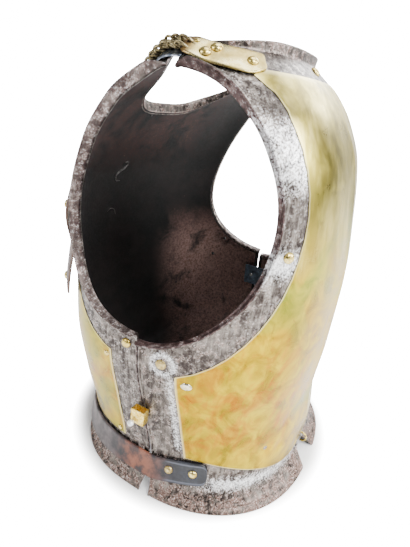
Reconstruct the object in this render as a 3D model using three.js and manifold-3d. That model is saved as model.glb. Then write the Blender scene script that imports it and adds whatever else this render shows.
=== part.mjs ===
// A cavalry cuirass: a steel front plate and back plate faced with sheet brass, hooked together at
// the shoulders by chained straps, at the sides by box staples and round the waist by a belt.
// Millimetres, +Z up. The chest faces -Y, the wearer's right is -X. It stands on its lower rim.

import * as THREE from 'three';
import { mergeVertices } from 'three/addons/utils/BufferGeometryUtils.js';
import Module from 'manifold-3d';

const { Vector3, Matrix4, BufferGeometry, BufferAttribute } = THREE;
const wasm = await Module();
wasm.setup();

const frontSide = -1;
const backSide = 1;

// Level sections of the steel body. halfWidth is at the side seam, front and back are how far the
// plates reach from the middle plane, and seam is where the side seam lies.
const sections = [
  { z: 0, halfWidth: 160, front: 157, back: 135, seam: -13 },
  { z: 22, halfWidth: 150, front: 140, back: 137, seam: -12 },
  { z: 48, halfWidth: 145, front: 140, back: 134, seam: -10 },
  { z: 100, halfWidth: 150, front: 136, back: 149, seam: -3 },
  { z: 170, halfWidth: 157, front: 140, back: 158, seam: 5 },
  { z: 240, halfWidth: 156, front: 141, back: 159, seam: 6 },
  { z: 310, halfWidth: 162, front: 134, back: 151, seam: 9 },
  { z: 365, halfWidth: 164, front: 124, back: 121, seam: 10 },
  { z: 400, halfWidth: 157, front: 108, back: 90, seam: 9 },
  { z: 425, halfWidth: 133, front: 90, back: 56, seam: 10 },
  { z: 445, halfWidth: 107, front: 68, back: 39, seam: 15 },
  { z: 465, halfWidth: 70, front: 41, back: 19, seam: 15 },
];

// How square the section is: 2 is an ellipse, more is fuller at the corner.
const fullness = {
  [frontSide]: { wide: 2.63, deep: 2.08 },
  [backSide]: { wide: 2.2, deep: 2.84 },
};
const keel = { height: 4, spread: 24, bottom: 15, top: 450, fade: 70 };

// The armhole edge, an oval in height and distance from the seam. lean makes it fuller low down.
const armhole = {
  bottom: 192,
  top: 430,
  lip: 10.7,
  [frontSide]: { reach: 108, lean: -0.05 },
  [backSide]: { reach: 80, lean: 0.42 },
};
const seamGap = { side: 2, shoulder: 4, rim: 6, rimHeight: 26, turnedEdge: 1.5 };
// The neckline: level in front, and at the back a curve that falls by drop over fade.
const neck = {
  side: 452,
  squareness: 3.7,
  [frontSide]: { drop: 0, fade: 60, lip: 8.5, outward: 0.61, upward: 0.79 },
  [backSide]: { drop: 61, fade: 200, lip: 8.5, outward: 0.38, upward: 0.92 },
};
const wall = { [frontSide]: 2.4, [backSide]: 1.6 };
const rim = { height: 5, swell: 1.6 };
const notch = { half: 24, topHalf: 14, top: 19, round: 5 };

// Sheet brass over the steel. corner is where its side edge meets the curve round the armhole.
const facing = {
  gap: 1.4,
  thickness: 0.8,
  armholeBorder: 28,
  borderSpread: 10,
  cornerHeight: 154,
  neckBorder: 17,
  lowRises: [0, 14, 34, 68],
  cornerRises: [0, 4, 10, 19, 32, 50, 76, 106, 137, 168, 200, 230, 256, 270],
  [frontSide]: { bottom: 56, margin: 40.5, sag: 29, shoulder: 45, most: 0.95 },
  [backSide]: { bottom: 50, margin: 36, sag: 0, shoulder: 34, most: 0.75 },
};

const belt = { halfWidth: 14, lift: 2.8, thickness: 2.4, frontEnd: 64, step: 13 };
// Height of the belt's middle line: level is the distance forward of the seam, or back if negative.
const beltLine = [
  { level: -300, z: 33 },
  { level: -40, z: 31 },
  { level: -5, z: 31 },
  { level: 32, z: 37 },
  { level: 80, z: 43 },
];

// Lengths over the shoulder run back from the seam; x is the distance from the middle.
const strapLine = [
  { z: 150, x: 118 },
  { z: 250, x: 118 },
  { z: 300, x: 113 },
  { z: 350, x: 103 },
  { z: 400, x: 98 },
  { z: 430, x: 105 },
  { z: 460, x: 113 },
];
const strap = {
  halfWidth: 14,
  lift: 0.9,
  overFacing: 2.1,
  facingFrom: 36,
  facingTo: 66,
  thickness: 2.4,
  from: 24,
  to: 292,
  freeFrom: 232,
  bow: 7,
};
const tongue = { halfWidth: 7, lift: 2, thickness: 1.3, from: -4, to: 21 };
const endPlate = {
  lift: 2.8,
  raised: 6.5,
  raisedTo: 8,
  flatFrom: 32,
  thickness: 1.3,
  holeAt: -8,
  holeRadius: 3.1,
};
// Outline of the shoulder end plate from its chain end forward: low and high are its two edges.
const endPlateOutline = [
  { away: 3, low: 436.5, high: 449.5 },
  { away: 12, low: 435, high: 449.5 },
  { away: 24, low: 432, high: 449 },
  { away: 36, low: 430, high: 448.5 },
  { away: 50, low: 428, high: 447.5 },
  { away: 60, low: 428.5, high: 446 },
  { away: 68, low: 432, high: 438 },
];
const chain = { rows: [-5.5, 5.5], links: 8, length: 15, width: 8.2, wire: 2.2, height: 7.2, perStretch: 4 };
const chainPitch = { joined: 11.2, loose: 9.8 };

const staple = { z: 97, behind: 3, width: 16, out: 9, height: 17, wall: 1.3, clear: 2.4, holeRadius: 2.2 };
const pin = { behind: 8, z: 91, stemRadius: 1.5, ballRadius: 3 };
const innerPlate = { z: 156, halfHeight: 15, halfLength: 20, thickness: 1.6, rivetAway: -9 };
const waistRing = { x: 9, z: 23.5, holeRadius: 2.2, radius: 6.2, wire: 1.2, swing: 0.5 };

const steel = { color: 0x8d8b8a, roughness: 0.4, metalness: 1 };
const brass = { color: 0xc9a94a, roughness: 0.3, metalness: 1 };
const paleBrass = { color: 0xd9cf9c, roughness: 0.3, metalness: 1 };
const leather = { color: 0x5a3a2c, roughness: 0.7, metalness: 0 };
const bluedSteel = { color: 0x3f4a5c, roughness: 0.5, metalness: 1 };

const cuirass = new THREE.Group();

// ---- helpers ----

// Smooth curve through the rows of a table that never overshoots them.
function smoothTable(rows, key, value) {
  const steps = rows.slice(1).map((row, i) => row[key] - rows[i][key]);
  const slopes = rows.slice(1).map((row, i) => (row[value] - rows[i][value]) / steps[i]);
  const tangents = rows.map((row, i) => {
    if (i === 0) return slopes[0];
    if (i === rows.length - 1) return slopes[i - 1];
    if (slopes[i - 1] * slopes[i] <= 0) return 0;
    const before = 2 * steps[i] + steps[i - 1];
    const after = steps[i] + 2 * steps[i - 1];
    return (before + after) / (before / slopes[i - 1] + after / slopes[i]);
  });
  return (at) => {
    let i = 0;
    while (i < steps.length - 1 && at > rows[i + 1][key]) i += 1;
    const h = steps[i];
    const t = Math.min(1, Math.max(0, (at - rows[i][key]) / h));
    const u = 1 - t;
    return rows[i][value] * (1 + 2 * t) * u * u + tangents[i] * h * t * u * u
      + rows[i + 1][value] * t * t * (3 - 2 * t) - tangents[i + 1] * h * t * t * u;
  };
}

function ramp(value, from, to) {
  const t = Math.min(1, Math.max(0, (value - from) / (to - from)));
  return t * t * (3 - 2 * t);
}

function indexed(geometry) {
  const bare = geometry.clone();
  bare.deleteAttribute('normal');
  bare.deleteAttribute('uv');
  return mergeVertices(bare, 1e-4);
}

function toSolid(geometry) {
  const merged = indexed(geometry);
  return new wasm.Manifold(new wasm.Mesh({
    numProp: 3,
    vertProperties: new Float32Array(merged.attributes.position.array),
    triVerts: new Uint32Array(merged.index.array),
  }));
}

function fromSolid(solid) {
  const mesh = solid.getMesh();
  const geometry = new BufferGeometry();
  geometry.setAttribute('position', new BufferAttribute(new Float32Array(mesh.vertProperties), 3));
  geometry.setIndex(Array.from(mesh.triVerts));
  return geometry;
}

function signedVolume(points, triangles) {
  let total = 0;
  for (let i = 0; i < triangles.length; i += 3) {
    const [a, b, c] = [0, 1, 2].map((k) => points[triangles[i + k]]);
    total += a.dot(b.clone().cross(c));
  }
  return total;
}

// A wall between two grids of points with the same rows and columns, closed all round its edge.
function wallBetween(outer, inner) {
  const rows = outer.length;
  const columns = outer[0].length;
  const points = [...outer.flat(), ...inner.flat()];
  const far = rows * columns;
  const at = (i, j) => i * columns + j;
  const triangles = [];
  // Each four-sided patch is split along its shorter diagonal, so the skewed ones stay flat.
  const quad = (a, b, c, d) => {
    if (points[a].distanceTo(points[c]) <= points[b].distanceTo(points[d])) {
      triangles.push(a, b, c, a, c, d);
    } else {
      triangles.push(b, c, d, b, d, a);
    }
  };
  for (let i = 0; i < rows - 1; i += 1) {
    for (let j = 0; j < columns - 1; j += 1) {
      quad(at(i, j), at(i, j + 1), at(i + 1, j + 1), at(i + 1, j));
      quad(far + at(i, j), far + at(i + 1, j), far + at(i + 1, j + 1), far + at(i, j + 1));
    }
    quad(at(i, 0), at(i + 1, 0), far + at(i + 1, 0), far + at(i, 0));
    const last = columns - 1;
    quad(at(i + 1, last), at(i, last), far + at(i, last), far + at(i + 1, last));
  }
  for (let j = 0; j < columns - 1; j += 1) {
    quad(at(0, j + 1), at(0, j), far + at(0, j), far + at(0, j + 1));
    const top = rows - 1;
    quad(at(top, j), at(top, j + 1), far + at(top, j + 1), far + at(top, j));
  }
  if (signedVolume(points, triangles) < 0) triangles.reverse();
  const geometry = new BufferGeometry();
  const flat = new Float32Array(points.flatMap((p) => [p.x, p.y, p.z]));
  geometry.setAttribute('position', new BufferAttribute(flat, 3));
  geometry.setIndex(triangles);
  return geometry;
}

const mirrored = (p) => new Vector3(-p.x, p.y, p.z);
const offset = (place, distance) => place.point.clone().addScaledVector(place.normal, distance);
const flipped = (geometry) => fromSolid(toSolid(geometry).mirror([1, 0, 0]));

function addPiece(name, geometry, finish) {
  const mesh = new THREE.Mesh(geometry, new THREE.MeshStandardMaterial(finish));
  mesh.name = name;
  cuirass.add(mesh);
}

// A piece on the wearer's right and its mirror image on the left.
function addPair(name, geometry, finish) {
  addPiece(`${name}_right`, geometry, finish);
  addPiece(`${name}_left`, flipped(geometry), finish);
}

// ---- the body surface ----

const halfWidth = smoothTable(sections, 'z', 'halfWidth');
const frontReach = smoothTable(sections, 'z', 'front');
const backReach = smoothTable(sections, 'z', 'back');
const seam = smoothTable(sections, 'z', 'seam');

function depth(side, z) {
  return side === frontSide ? frontReach(z) + seam(z) : backReach(z) - seam(z);
}

// The right half of a section, from the side seam (angle 0) to the middle (angle 90 degrees):
// x = -halfWidth cos^(2/wide), y = seam -+ depth sin^(2/deep), with a soft ridge down the chest.
function bodyPoint(side, angle, z) {
  const { wide, deep } = fullness[side];
  const x = -halfWidth(z) * Math.max(0, Math.cos(angle)) ** (2 / wide);
  let y = seam(z) + side * depth(side, z) * Math.max(0, Math.sin(angle)) ** (2 / deep);
  if (side === frontSide) {
    const share = ramp(z, keel.bottom, keel.bottom + keel.fade) * ramp(z, keel.top, keel.top - keel.fade);
    y -= keel.height * share * (Math.exp(x / keel.spread) - 0.4);
  }
  return new Vector3(x, y, z);
}

function bodyPlace(side, angle, z) {
  const step = 1e-3;
  const safe = Math.max(angle, 2 * step);
  const along = bodyPoint(side, safe + step, z).sub(bodyPoint(side, safe - step, z));
  const up = bodyPoint(side, safe, z + 0.5).sub(bodyPoint(side, safe, z - 0.5));
  const normal = along.cross(up).normalize();
  const point = bodyPoint(side, angle, z);
  if (normal.x * point.x + normal.y * (point.y - seam(z)) < 0) normal.negate();
  if (angle > Math.PI / 2 - step) normal.setX(0).normalize();
  return { point, normal };
}

function angleAway(side, z, away) {
  return Math.asin(Math.min(1, away / depth(side, z)) ** (fullness[side].deep / 2));
}

// Angles from a start to the middle, and the length of the section up to each of them.
function measured(side, z, start) {
  const count = 60;
  const angles = Array.from({ length: count + 1 }, (_, i) => start + (Math.PI / 2 - start) * i / count);
  const points = angles.map((angle) => bodyPoint(side, angle, z));
  const lengths = [0];
  for (let i = 1; i <= count; i += 1) lengths.push(lengths[i - 1] + points[i].distanceTo(points[i - 1]));
  return { angles, lengths, whole: lengths[count] };
}

function lookUp(from, to, at) {
  let i = 1;
  while (i < from.length - 1 && from[i] < at) i += 1;
  return to[i - 1] + (to[i] - to[i - 1]) * (at - from[i - 1]) / (from[i] - from[i - 1]);
}

// The angle at a share of the way along the section from a start angle to the middle.
function angleAlong(side, z, start, share) {
  const { angles, lengths, whole } = measured(side, z, start);
  return lookUp(lengths, angles, share * whole);
}

function shareAt(side, z, start, angle) {
  const { angles, lengths, whole } = measured(side, z, start);
  return lookUp(angles, lengths, angle) / whole;
}

// A place on the surface at a height and a distance from the seam, forward if positive.
function placeAway(z, away) {
  const side = away >= 0 ? frontSide : backSide;
  return bodyPlace(side, angleAway(side, z, Math.abs(away)), z);
}

const armholeMiddle = (armhole.top + armhole.bottom) / 2;
const armholeHalf = (armhole.top - armhole.bottom) / 2;

function armholeReach(side, z) {
  const cosine = (armholeMiddle - z) / armholeHalf;
  if (Math.abs(cosine) >= 1) return 0;
  const { reach, lean } = armhole[side];
  return reach * Math.sqrt(1 - cosine * cosine) * (1 + lean * cosine);
}

// ---- the steel plates ----

// How far a level line is pulled down towards the back neckline, x to the power of squareness.
function neckDrop(side, level, share) {
  const { drop, fade } = neck[side];
  const fall = Math.max(0, (level - (neck.side - fade)) / fade);
  return drop * fall * (1 - neckWidth(share) ** neck.squareness);
}

function neckWidth(share) {
  return Math.max(0, 1 - share) ** 0.75;
}

// Turns the top of the back plate so that its neckline keeps to that curve.
function neckTurn(side, level, share) {
  const { drop, fade } = neck[side];
  if (!drop || share <= 0 || share >= 1) return 0;
  const fall = Math.max(0, (level - (neck.side - fade)) / fade);
  const z = neck.side - neckDrop(side, neck.side, share);
  const cosine = halfWidth(neck.side) * neckWidth(share) / halfWidth(z);
  const goal = Math.acos(cosine ** (fullness[side].wide / 2));
  return (goal - angleAlong(side, neck.side, plateStart(side, neck.side), share)) * fall * fall;
}

function plateStart(side, level) {
  const rimShare = 1 - ramp(level, 0, seamGap.rimHeight);
  const sideGap = seamGap.side + (seamGap.rim - seamGap.side) * rimShare;
  const gap = level < armholeMiddle ? sideGap : seamGap.shoulder;
  return angleAway(side, level, Math.max(gap, armholeReach(side, level)));
}

function plateLevels() {
  const low = [0, rim.height, rim.height + 0.6, 17, 32, 50, 74, 108, 144, 174, armhole.bottom - 3];
  const steps = 11;
  const curve = Array.from({ length: steps + 1 }, (_, i) => (
    armholeMiddle - armholeHalf * Math.cos(Math.PI * i / steps)));
  return [...low, ...curve, (armhole.top + neck.side) / 2, neck.side];
}

function plate(side) {
  const columns = 9;
  const thickness = wall[side];
  const levels = plateLevels();
  const lips = levels.map((level) => {
    if (level >= armhole.bottom && level <= armhole.top) return armhole.lip;
    return level < armhole.top ? seamGap.turnedEdge : 0;
  });
  const half = levels.map((level) => {
    const start = plateStart(side, level);
    return Array.from({ length: columns + 1 }, (_, j) => {
      const share = j / columns;
      const angle = angleAlong(side, level, start, share) + neckTurn(side, level, share);
      const place = bodyPlace(side, angle, level - neckDrop(side, level, share));
      if (level < rim.height + 0.5) place.normal.setZ(0).normalize();
      return place;
    });
  });
  const outer = [];
  const inner = [];
  half.forEach((row, i) => {
    const swell = levels[i] < rim.height + 0.5 ? rim.swell : 0;
    const above = half[Math.min(i + 1, half.length - 1)][0].point;
    const below = half[Math.max(i - 1, 0)][0].point;
    const edge = row[0];
    const outward = edge.normal.clone().cross(above.clone().sub(below)).normalize();
    if (outward.dot(edge.point.clone().sub(row[1].point)) < 0) outward.negate();
    const crease = edge.point.clone().addScaledVector(outward, -thickness);
    const rise = Math.max(lips[i], swell + 0.4);
    outer.push([
      crease.clone().addScaledVector(edge.normal, rise),
      crease.clone().addScaledVector(edge.normal, swell),
      ...row.slice(1).map((place) => offset(place, swell)),
    ]);
    inner.push([
      offset(edge, rise),
      offset(edge, -thickness),
      ...row.slice(1).map((place) => offset(place, -thickness)),
    ]);
  });
  // The lip round the neck stands on the top row.
  const { lip, outward, upward } = neck[side];
  const topRow = half[half.length - 1];
  const nextRow = half[half.length - 2];
  const leans = topRow.map((place, j) => {
    const height = 1.5 + (lip - 1.5) * ramp(j / columns, 0, 0.6);
    return place.normal.clone().multiplyScalar(outward).add(new Vector3(0, 0, upward)).multiplyScalar(height);
  });
  const steps = topRow.map((place, j) => (
    place.point.clone().sub(nextRow[j].point).normalize().multiplyScalar(-thickness)));
  const top = outer.length - 1;
  const columnOf = (j) => Math.max(0, j - 1);
  const edgeRow = outer[top].map((p) => p.clone());
  outer[top] = edgeRow.map((p, j) => p.clone().add(steps[columnOf(j)]));
  outer.push(edgeRow.map((p, j) => p.clone().add(steps[columnOf(j)]).add(leans[columnOf(j)])));
  const innerEdge = topRow.map((place) => place.point.clone());
  innerEdge.unshift(inner[top][0].clone());
  inner.push(innerEdge.map((p, j) => p.clone().add(leans[columnOf(j)])));
  const whole = (row) => [...row, ...row.slice(0, -1).reverse().map(mirrored)];
  return wallBetween(outer.map(whole), inner.map(whole));
}

// The notch in the middle of the front rim is a wedge taken out of the plate.
function notchWedge() {
  const outline = new THREE.Shape();
  outline.moveTo(-notch.half, -5);
  outline.lineTo(notch.half, -5);
  outline.lineTo(notch.topHalf, notch.top - notch.round);
  outline.quadraticCurveTo(notch.topHalf, notch.top, 0, notch.top);
  outline.quadraticCurveTo(-notch.topHalf, notch.top, -notch.topHalf, notch.top - notch.round);
  outline.closePath();
  const wedge = new THREE.ExtrudeGeometry(outline, { depth: 80, bevelEnabled: false, curveSegments: 3 });
  wedge.rotateX(Math.PI / 2);
  wedge.translate(0, -frontReach(0) + 60, 0);
  return wedge;
}

const frontPlace = bodyPlace(frontSide, Math.PI / 2, waistRing.z);

function ringHole() {
  const drill = new THREE.CylinderGeometry(waistRing.holeRadius, waistRing.holeRadius, 12, 10);
  drill.translate(waistRing.x, frontPlace.point.y, waistRing.z);
  return drill;
}

function frontPlate() {
  const body = toSolid(plate(frontSide));
  return fromSolid(body.subtract(toSolid(notchWedge())).subtract(toSolid(ringHole())));
}

addPiece('front_plate', frontPlate(), steel);
addPiece('back_plate', plate(backSide), steel);

// ---- the brass facing ----

// The armhole edge moved over the surface, away from the hole, by the width of the steel border.
function borderLine(side) {
  const count = 24;
  const spots = Array.from({ length: count + 1 }, (_, i) => {
    const turn = 0.05 + (Math.PI - 0.1) * i / count;
    const z = armholeMiddle - armholeHalf * Math.cos(turn);
    return bodyPlace(side, angleAway(side, z, armholeReach(side, z)), z);
  });
  return spots.map((place, i) => {
    const before = spots[Math.max(0, i - 1)].point;
    const after = spots[Math.min(count, i + 1)].point;
    const across = place.normal.clone().cross(after.clone().sub(before)).normalize();
    if (across.y * side < 0 && i > 0 && i < count) across.negate();
    if (i === 0) across.set(0, 0, -1);
    if (i === count) across.set(0.8, 0, 0.6);
    const width = facing.armholeBorder + facing.borderSpread * (1 - ramp(i / count, 0, 0.5));
    const moved = place.point.clone().addScaledVector(across, width);
    return { z: moved.z, away: Math.abs(moved.y - seam(moved.z)) };
  }).sort((a, b) => a.z - b.z);
}

function facingStart(side, border, level) {
  const { margin, shoulder, most } = facing[side];
  let away = margin;
  const past = border.findIndex((spot) => spot.z > level);
  if (past > 0) {
    const [a, b] = [border[past - 1], border[past]];
    away = Math.max(away, a.away + (b.away - a.away) * (level - a.z) / (b.z - a.z));
  }
  if (level > armhole.top - 25) {
    away = Math.max(away, shoulder * ramp(level, armhole.top - 60, armhole.top - 5));
  }
  return Math.min(away, most * depth(side, level));
}

function facingSheet(side) {
  const columns = 8;
  const { bottom, sag } = facing[side];
  const top = neck.side - facing.neckBorder;
  const border = borderLine(side);
  const levels = [
    ...facing.lowRises.map((rise) => bottom + rise),
    ...facing.cornerRises.map((rise) => facing.cornerHeight + rise),
    top,
  ];
  const half = levels.map((level) => {
    const start = angleAway(side, level, facingStart(side, border, level));
    return Array.from({ length: columns + 1 }, (_, j) => {
      const share = j / columns;
      const angle = angleAlong(side, level, start, share);
      const hang = sag * (1 - ramp(level, bottom, bottom + 90)) * ramp(share, 0, 0.9);
      const plateShare = shareAt(side, level, plateStart(side, level), angle);
      const z = level - neckDrop(side, level, plateShare) - hang;
      return bodyPlace(side, angle + neckTurn(side, level, plateShare), z);
    });
  });
  const whole = (row) => [...row, ...row.slice(0, -1).reverse().map(mirrored)];
  const sheet = (lift) => half.map((row) => whole(row.map((place) => offset(place, lift))));
  return wallBetween(sheet(facing.gap + facing.thickness), sheet(facing.gap));
}

addPiece('front_facing', facingSheet(frontSide), brass);
addPiece('back_facing', facingSheet(backSide), brass);

// ---- the waist belt ----

const beltHeight = smoothTable(beltLine, 'level', 'z');

function beltBand() {
  const places = [];
  const backAngle = (share) => Math.PI / 2 * share;
  const backCount = 12;
  for (let i = backCount; i > 0; i -= 1) {
    const angle = backAngle(i / backCount);
    const z = beltHeight(-depth(backSide, 40) * Math.sin(angle));
    places.push((dz) => bodyPlace(backSide, angle, z + dz));
  }
  const frontCount = Math.round(belt.frontEnd / belt.step);
  const narrowing = [];
  for (let i = 0; i <= frontCount; i += 1) {
    const away = 1 + (belt.frontEnd - 1) * i / frontCount;
    const z = beltHeight(away);
    places.push((dz) => placeAway(z + dz, away));
  }
  const rows = places.length;
  places.forEach((_, i) => narrowing.push(i === rows - 1 ? 0.62 : 1));
  const half = places.map((place, i) => (
    [-1, 0, 1].map((share) => place(share * belt.halfWidth * narrowing[i]))));
  const whole = (lift) => {
    const near = half.map((row) => row.map((place) => offset(place, lift)));
    return [...near.slice().reverse(), ...near.slice(1).map((row) => row.map(mirrored))];
  };
  return wallBetween(whole(belt.lift + belt.thickness), whole(belt.lift));
}

addPiece('waist_belt', beltBand(), leather);

// ---- rivets and studs ----

const domeHeight = 0.62;

function domeHead(radius) {
  const height = radius * domeHeight;
  const profile = [[0, 0], [radius, 0], [radius * 0.72, height * 0.72], [0, height]];
  const points = profile.map(([r, h]) => new THREE.Vector2(r, h));
  const head = new THREE.LatheGeometry(points, 8);
  head.rotateX(Math.PI / 2);
  return head;
}

// Puts a geometry made round +Z at a place, its +Z along the surface normal.
function seated(geometry, place, lift) {
  const zAxis = place.normal.clone();
  const xAxis = new Vector3(0, 0, 1).cross(zAxis).normalize();
  const yAxis = zAxis.clone().cross(xAxis);
  const turn = new Matrix4().makeBasis(xAxis, yAxis, zAxis);
  turn.setPosition(offset(place, lift));
  return geometry.clone().applyMatrix4(turn);
}

const steelLift = 0.4;
const facingLift = facing.gap + facing.thickness + 0.4;
const beltLift = belt.lift + belt.thickness + 0.7;
const endPlateHeight = (away) => (
  endPlate.raised + (endPlate.lift - endPlate.raised) * ramp(away, endPlate.raisedTo, endPlate.flatFrom));
const onEndPlate = (away) => endPlateHeight(away) + endPlate.thickness + 0.4;
// away is the distance forward of the side seam, or behind it if negative.
const rivets = [
  { name: 'rivet_front_border', away: 118, z: 293, radius: 5.3, lift: steelLift },
  { name: 'rivet_front_corner', away: 26, z: 172, radius: 5.3, lift: steelLift },
  { name: 'rivet_back_corner', away: -14, z: 177, radius: 5.3, lift: steelLift },
  { name: 'rivet_front_facing', away: 52, z: 155, radius: 5, lift: facingLift },
  { name: 'rivet_back_facing_top', away: -42, z: 158, radius: 3.2, lift: facingLift },
  { name: 'rivet_back_facing_low', away: -43, z: 56, radius: 3.2, lift: facingLift },
  { name: 'rivet_belt_rear', away: 24.5, z: 37, radius: 4.8, lift: beltLift },
  { name: 'rivet_belt_front', away: 50, z: 40, radius: 4.8, lift: beltLift },
  { name: 'rivet_shoulder_low', away: 23, z: 439, radius: 5.3, lift: onEndPlate(20) },
  { name: 'rivet_shoulder_high', away: 33, z: 443.5, radius: 5.3, lift: onEndPlate(29) },
  { name: 'rivet_shoulder_front', away: 56, z: 438, radius: 4.6, lift: onEndPlate(50) },
  { name: 'rivet_shoulder_small', away: 13, z: 443, radius: 2.6, lift: onEndPlate(10) },
];
rivets.forEach(({ name, away, z, radius, lift }) => {
  addPair(name, seated(domeHead(radius), placeAway(z, away), lift), brass);
});
addPiece('rivet_neck', seated(domeHead(5.3), bodyPlace(frontSide, Math.PI / 2, 443.5), steelLift), brass);

// ---- the shoulder straps ----

// The strap's line over the shoulder, moved outwards by a shift, its length measured at a lift
// above the steel. Lengths run from the seam, back if positive and forward if negative.
const strapX = smoothTable(strapLine, 'z', 'x');
const shoulderLines = new Map();

function overShoulder(shift, lift = 0) {
  const key = `${shift} ${lift}`;
  if (!shoulderLines.has(key)) shoulderLines.set(key, traceShoulder(shift, lift));
  return shoulderLines.get(key);
}

function traceShoulder(shift, lift) {
  let low = armhole.top - 60;
  let top = neck.side + 10;
  for (let i = 0; i < 40; i += 1) {
    const middle = (low + top) / 2;
    if (halfWidth(middle) > strapX(middle) + shift) low = middle;
    else top = middle;
  }
  const walk = (side) => {
    const spots = [];
    const fall = 290;
    const count = 900;
    let length = 0;
    let last = null;
    for (let i = 0; i <= count; i += 1) {
      const z = low - fall * (i / count) ** 2;
      const cosine = Math.min(1, (strapX(z) + shift) / halfWidth(z));
      const place = bodyPlace(side, Math.acos(cosine ** (fullness[side].wide / 2)), z);
      const lifted = offset(place, lift);
      if (last) length += lifted.distanceTo(last);
      last = lifted;
      spots.push({ length, place });
    }
    return spots;
  };
  const lines = { back: walk(backSide), front: walk(frontSide) };
  return (length) => {
    const line = length >= 0 ? lines.back : lines.front;
    const found = line.find((spot) => spot.length >= Math.abs(length));
    return (found ?? line[line.length - 1]).place;
  };
}

function bandOverShoulder({ halfWidth: half, from, to, count, liftAt, thickness, narrow = () => 1 }) {
  const grid = (extra) => Array.from({ length: count + 1 }, (_, i) => {
    const length = from + (to - from) * i / count;
    return [-1, 0, 1].map((share) => {
      const line = overShoulder(share * half * narrow(length));
      return offset(line(length), liftAt(length) + extra);
    });
  });
  return wallBetween(grid(thickness), grid(0));
}

// The strap and its chain rise where the back facing begins.
const overFacing = (length) => strap.overFacing * ramp(length, strap.facingFrom, strap.facingTo);
const strapLift = (length) => {
  const free = Math.max(0, (length - strap.freeFrom) / (strap.to - strap.freeFrom));
  return strap.lift + overFacing(length) + strap.bow * Math.sin(free * Math.PI * 0.55);
};
addPair('shoulder_strap', bandOverShoulder({
  ...strap,
  count: 15,
  liftAt: strapLift,
  narrow: (length) => (length > strap.to - 1 ? 0.45 : 1),
}), leather);
addPair('shoulder_tongue', bandOverShoulder({ ...tongue, count: 5, liftAt: () => tongue.lift }), steel);

const studLengths = { high: 186, low: 274 };
Object.entries(studLengths).forEach(([name, length]) => {
  const lift = strapLift(length) + strap.thickness + 0.4;
  addPair(`stud_strap_${name}`, seated(domeHead(5), overShoulder(0)(length), lift), brass);
});
const endStudLength = 96;
addPair('stud_chain_end', seated(
  domeHead(5.3), overShoulder(0)(endStudLength), strapLift(endStudLength) + strap.thickness + 0.4), brass);

function shoulderEndPlate() {
  const low = smoothTable(endPlateOutline, 'away', 'low');
  const high = smoothTable(endPlateOutline, 'away', 'high');
  const grid = (extra) => endPlateOutline.map(({ away }) => (
    [0, 1 / 3, 2 / 3, 1].map((share) => {
      const z = low(away) + (high(away) - low(away)) * share;
      return offset(placeAway(z, away), endPlateHeight(away) + extra);
    })));
  let body = toSolid(wallBetween(grid(endPlate.thickness), grid(0)));
  chain.rows.forEach((x) => {
    const drill = new THREE.CylinderGeometry(endPlate.holeRadius, endPlate.holeRadius, 12, 10);
    drill.rotateX(Math.PI / 2);
    const spot = overShoulder(x, chain.height)(endPlate.holeAt);
    body = body.subtract(toSolid(seated(drill, spot, endPlate.raised)));
  });
  return fromSolid(body);
}

addPair('shoulder_end_plate', shoulderEndPlate(), paleBrass);

// ---- the shoulder chains ----

// An oval link: a round ring pulled apart along its length, lying in the XZ plane with length on X.
function chainLink() {
  const wireRadius = chain.wire / 2;
  const ringRadius = chain.width / 2 - wireRadius;
  const link = new THREE.TorusGeometry(ringRadius, wireRadius, 4, 6);
  const position = link.attributes.position;
  const pull = (chain.length - chain.width) / 2;
  for (let i = 0; i < position.count; i += 1) {
    position.setX(i, position.getX(i) + pull * Math.sign(position.getX(i)));
  }
  return link;
}

function chainStretch(x, stretch) {
  const line = overShoulder(x, chain.height);
  const stretchLength = (chain.perStretch - 1) * chainPitch.joined + chainPitch.loose;
  const first = endPlate.holeAt + (chain.length - chain.wire) / 2 + stretch * stretchLength;
  let body = null;
  for (let i = 0; i < chain.perStretch; i += 1) {
    const length = first + i * chainPitch.joined;
    const place = line(length);
    const ahead = offset(line(length + 2), chain.height);
    const behind = offset(line(length - 2), chain.height);
    const along = ahead.clone().sub(behind).normalize();
    const across = place.normal.clone().cross(along).normalize();
    const up = along.clone().cross(across);
    const lean = (i + stretch * chain.perStretch) % 2 === 0 ? 1 : -1;
    const flat = across.clone().addScaledVector(up, lean).normalize();
    const turn = new Matrix4().makeBasis(along, flat, along.clone().cross(flat));
    turn.setPosition(offset(place, chain.height + overFacing(length)));
    const link = toSolid(chainLink().applyMatrix4(turn));
    body = body ? body.add(link) : link;
  }
  return fromSolid(body);
}

chain.rows.forEach((x, row) => {
  const rowName = row === 0 ? 'inner' : 'outer';
  for (let stretch = 0; stretch < chain.links / chain.perStretch; stretch += 1) {
    addPair(`chain_${rowName}_${stretch + 1}`, chainStretch(x, stretch), brass);
  }
});

// ---- side fastenings ----

function sideStaple() {
  const { width, out, height, wall: sheet } = staple;
  const outline = new THREE.Shape();
  outline.moveTo(0, -width / 2);
  outline.lineTo(out, -width / 2);
  outline.lineTo(out, width / 2);
  outline.lineTo(0, width / 2);
  outline.closePath();
  const hollow = new THREE.Path();
  hollow.moveTo(sheet, -width / 2 + sheet);
  hollow.lineTo(sheet, width / 2 - sheet);
  hollow.lineTo(out - sheet, width / 2 - sheet);
  hollow.lineTo(out - sheet, -width / 2 + sheet);
  hollow.closePath();
  outline.holes.push(hollow);
  const box = new THREE.ExtrudeGeometry(outline, { depth: height, bevelEnabled: false });
  box.rotateZ(Math.PI);
  box.translate(-halfWidth(staple.z) - staple.clear, seam(staple.z) + staple.behind, staple.z - height / 2);
  const drill = new THREE.CylinderGeometry(staple.holeRadius, staple.holeRadius, 6, 10);
  drill.rotateZ(Math.PI / 2);
  const face = halfWidth(staple.z) + staple.clear + out;
  drill.translate(-face, seam(staple.z) + pin.behind, pin.z);
  return fromSolid(toSolid(box).subtract(toSolid(drill)));
}

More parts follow.
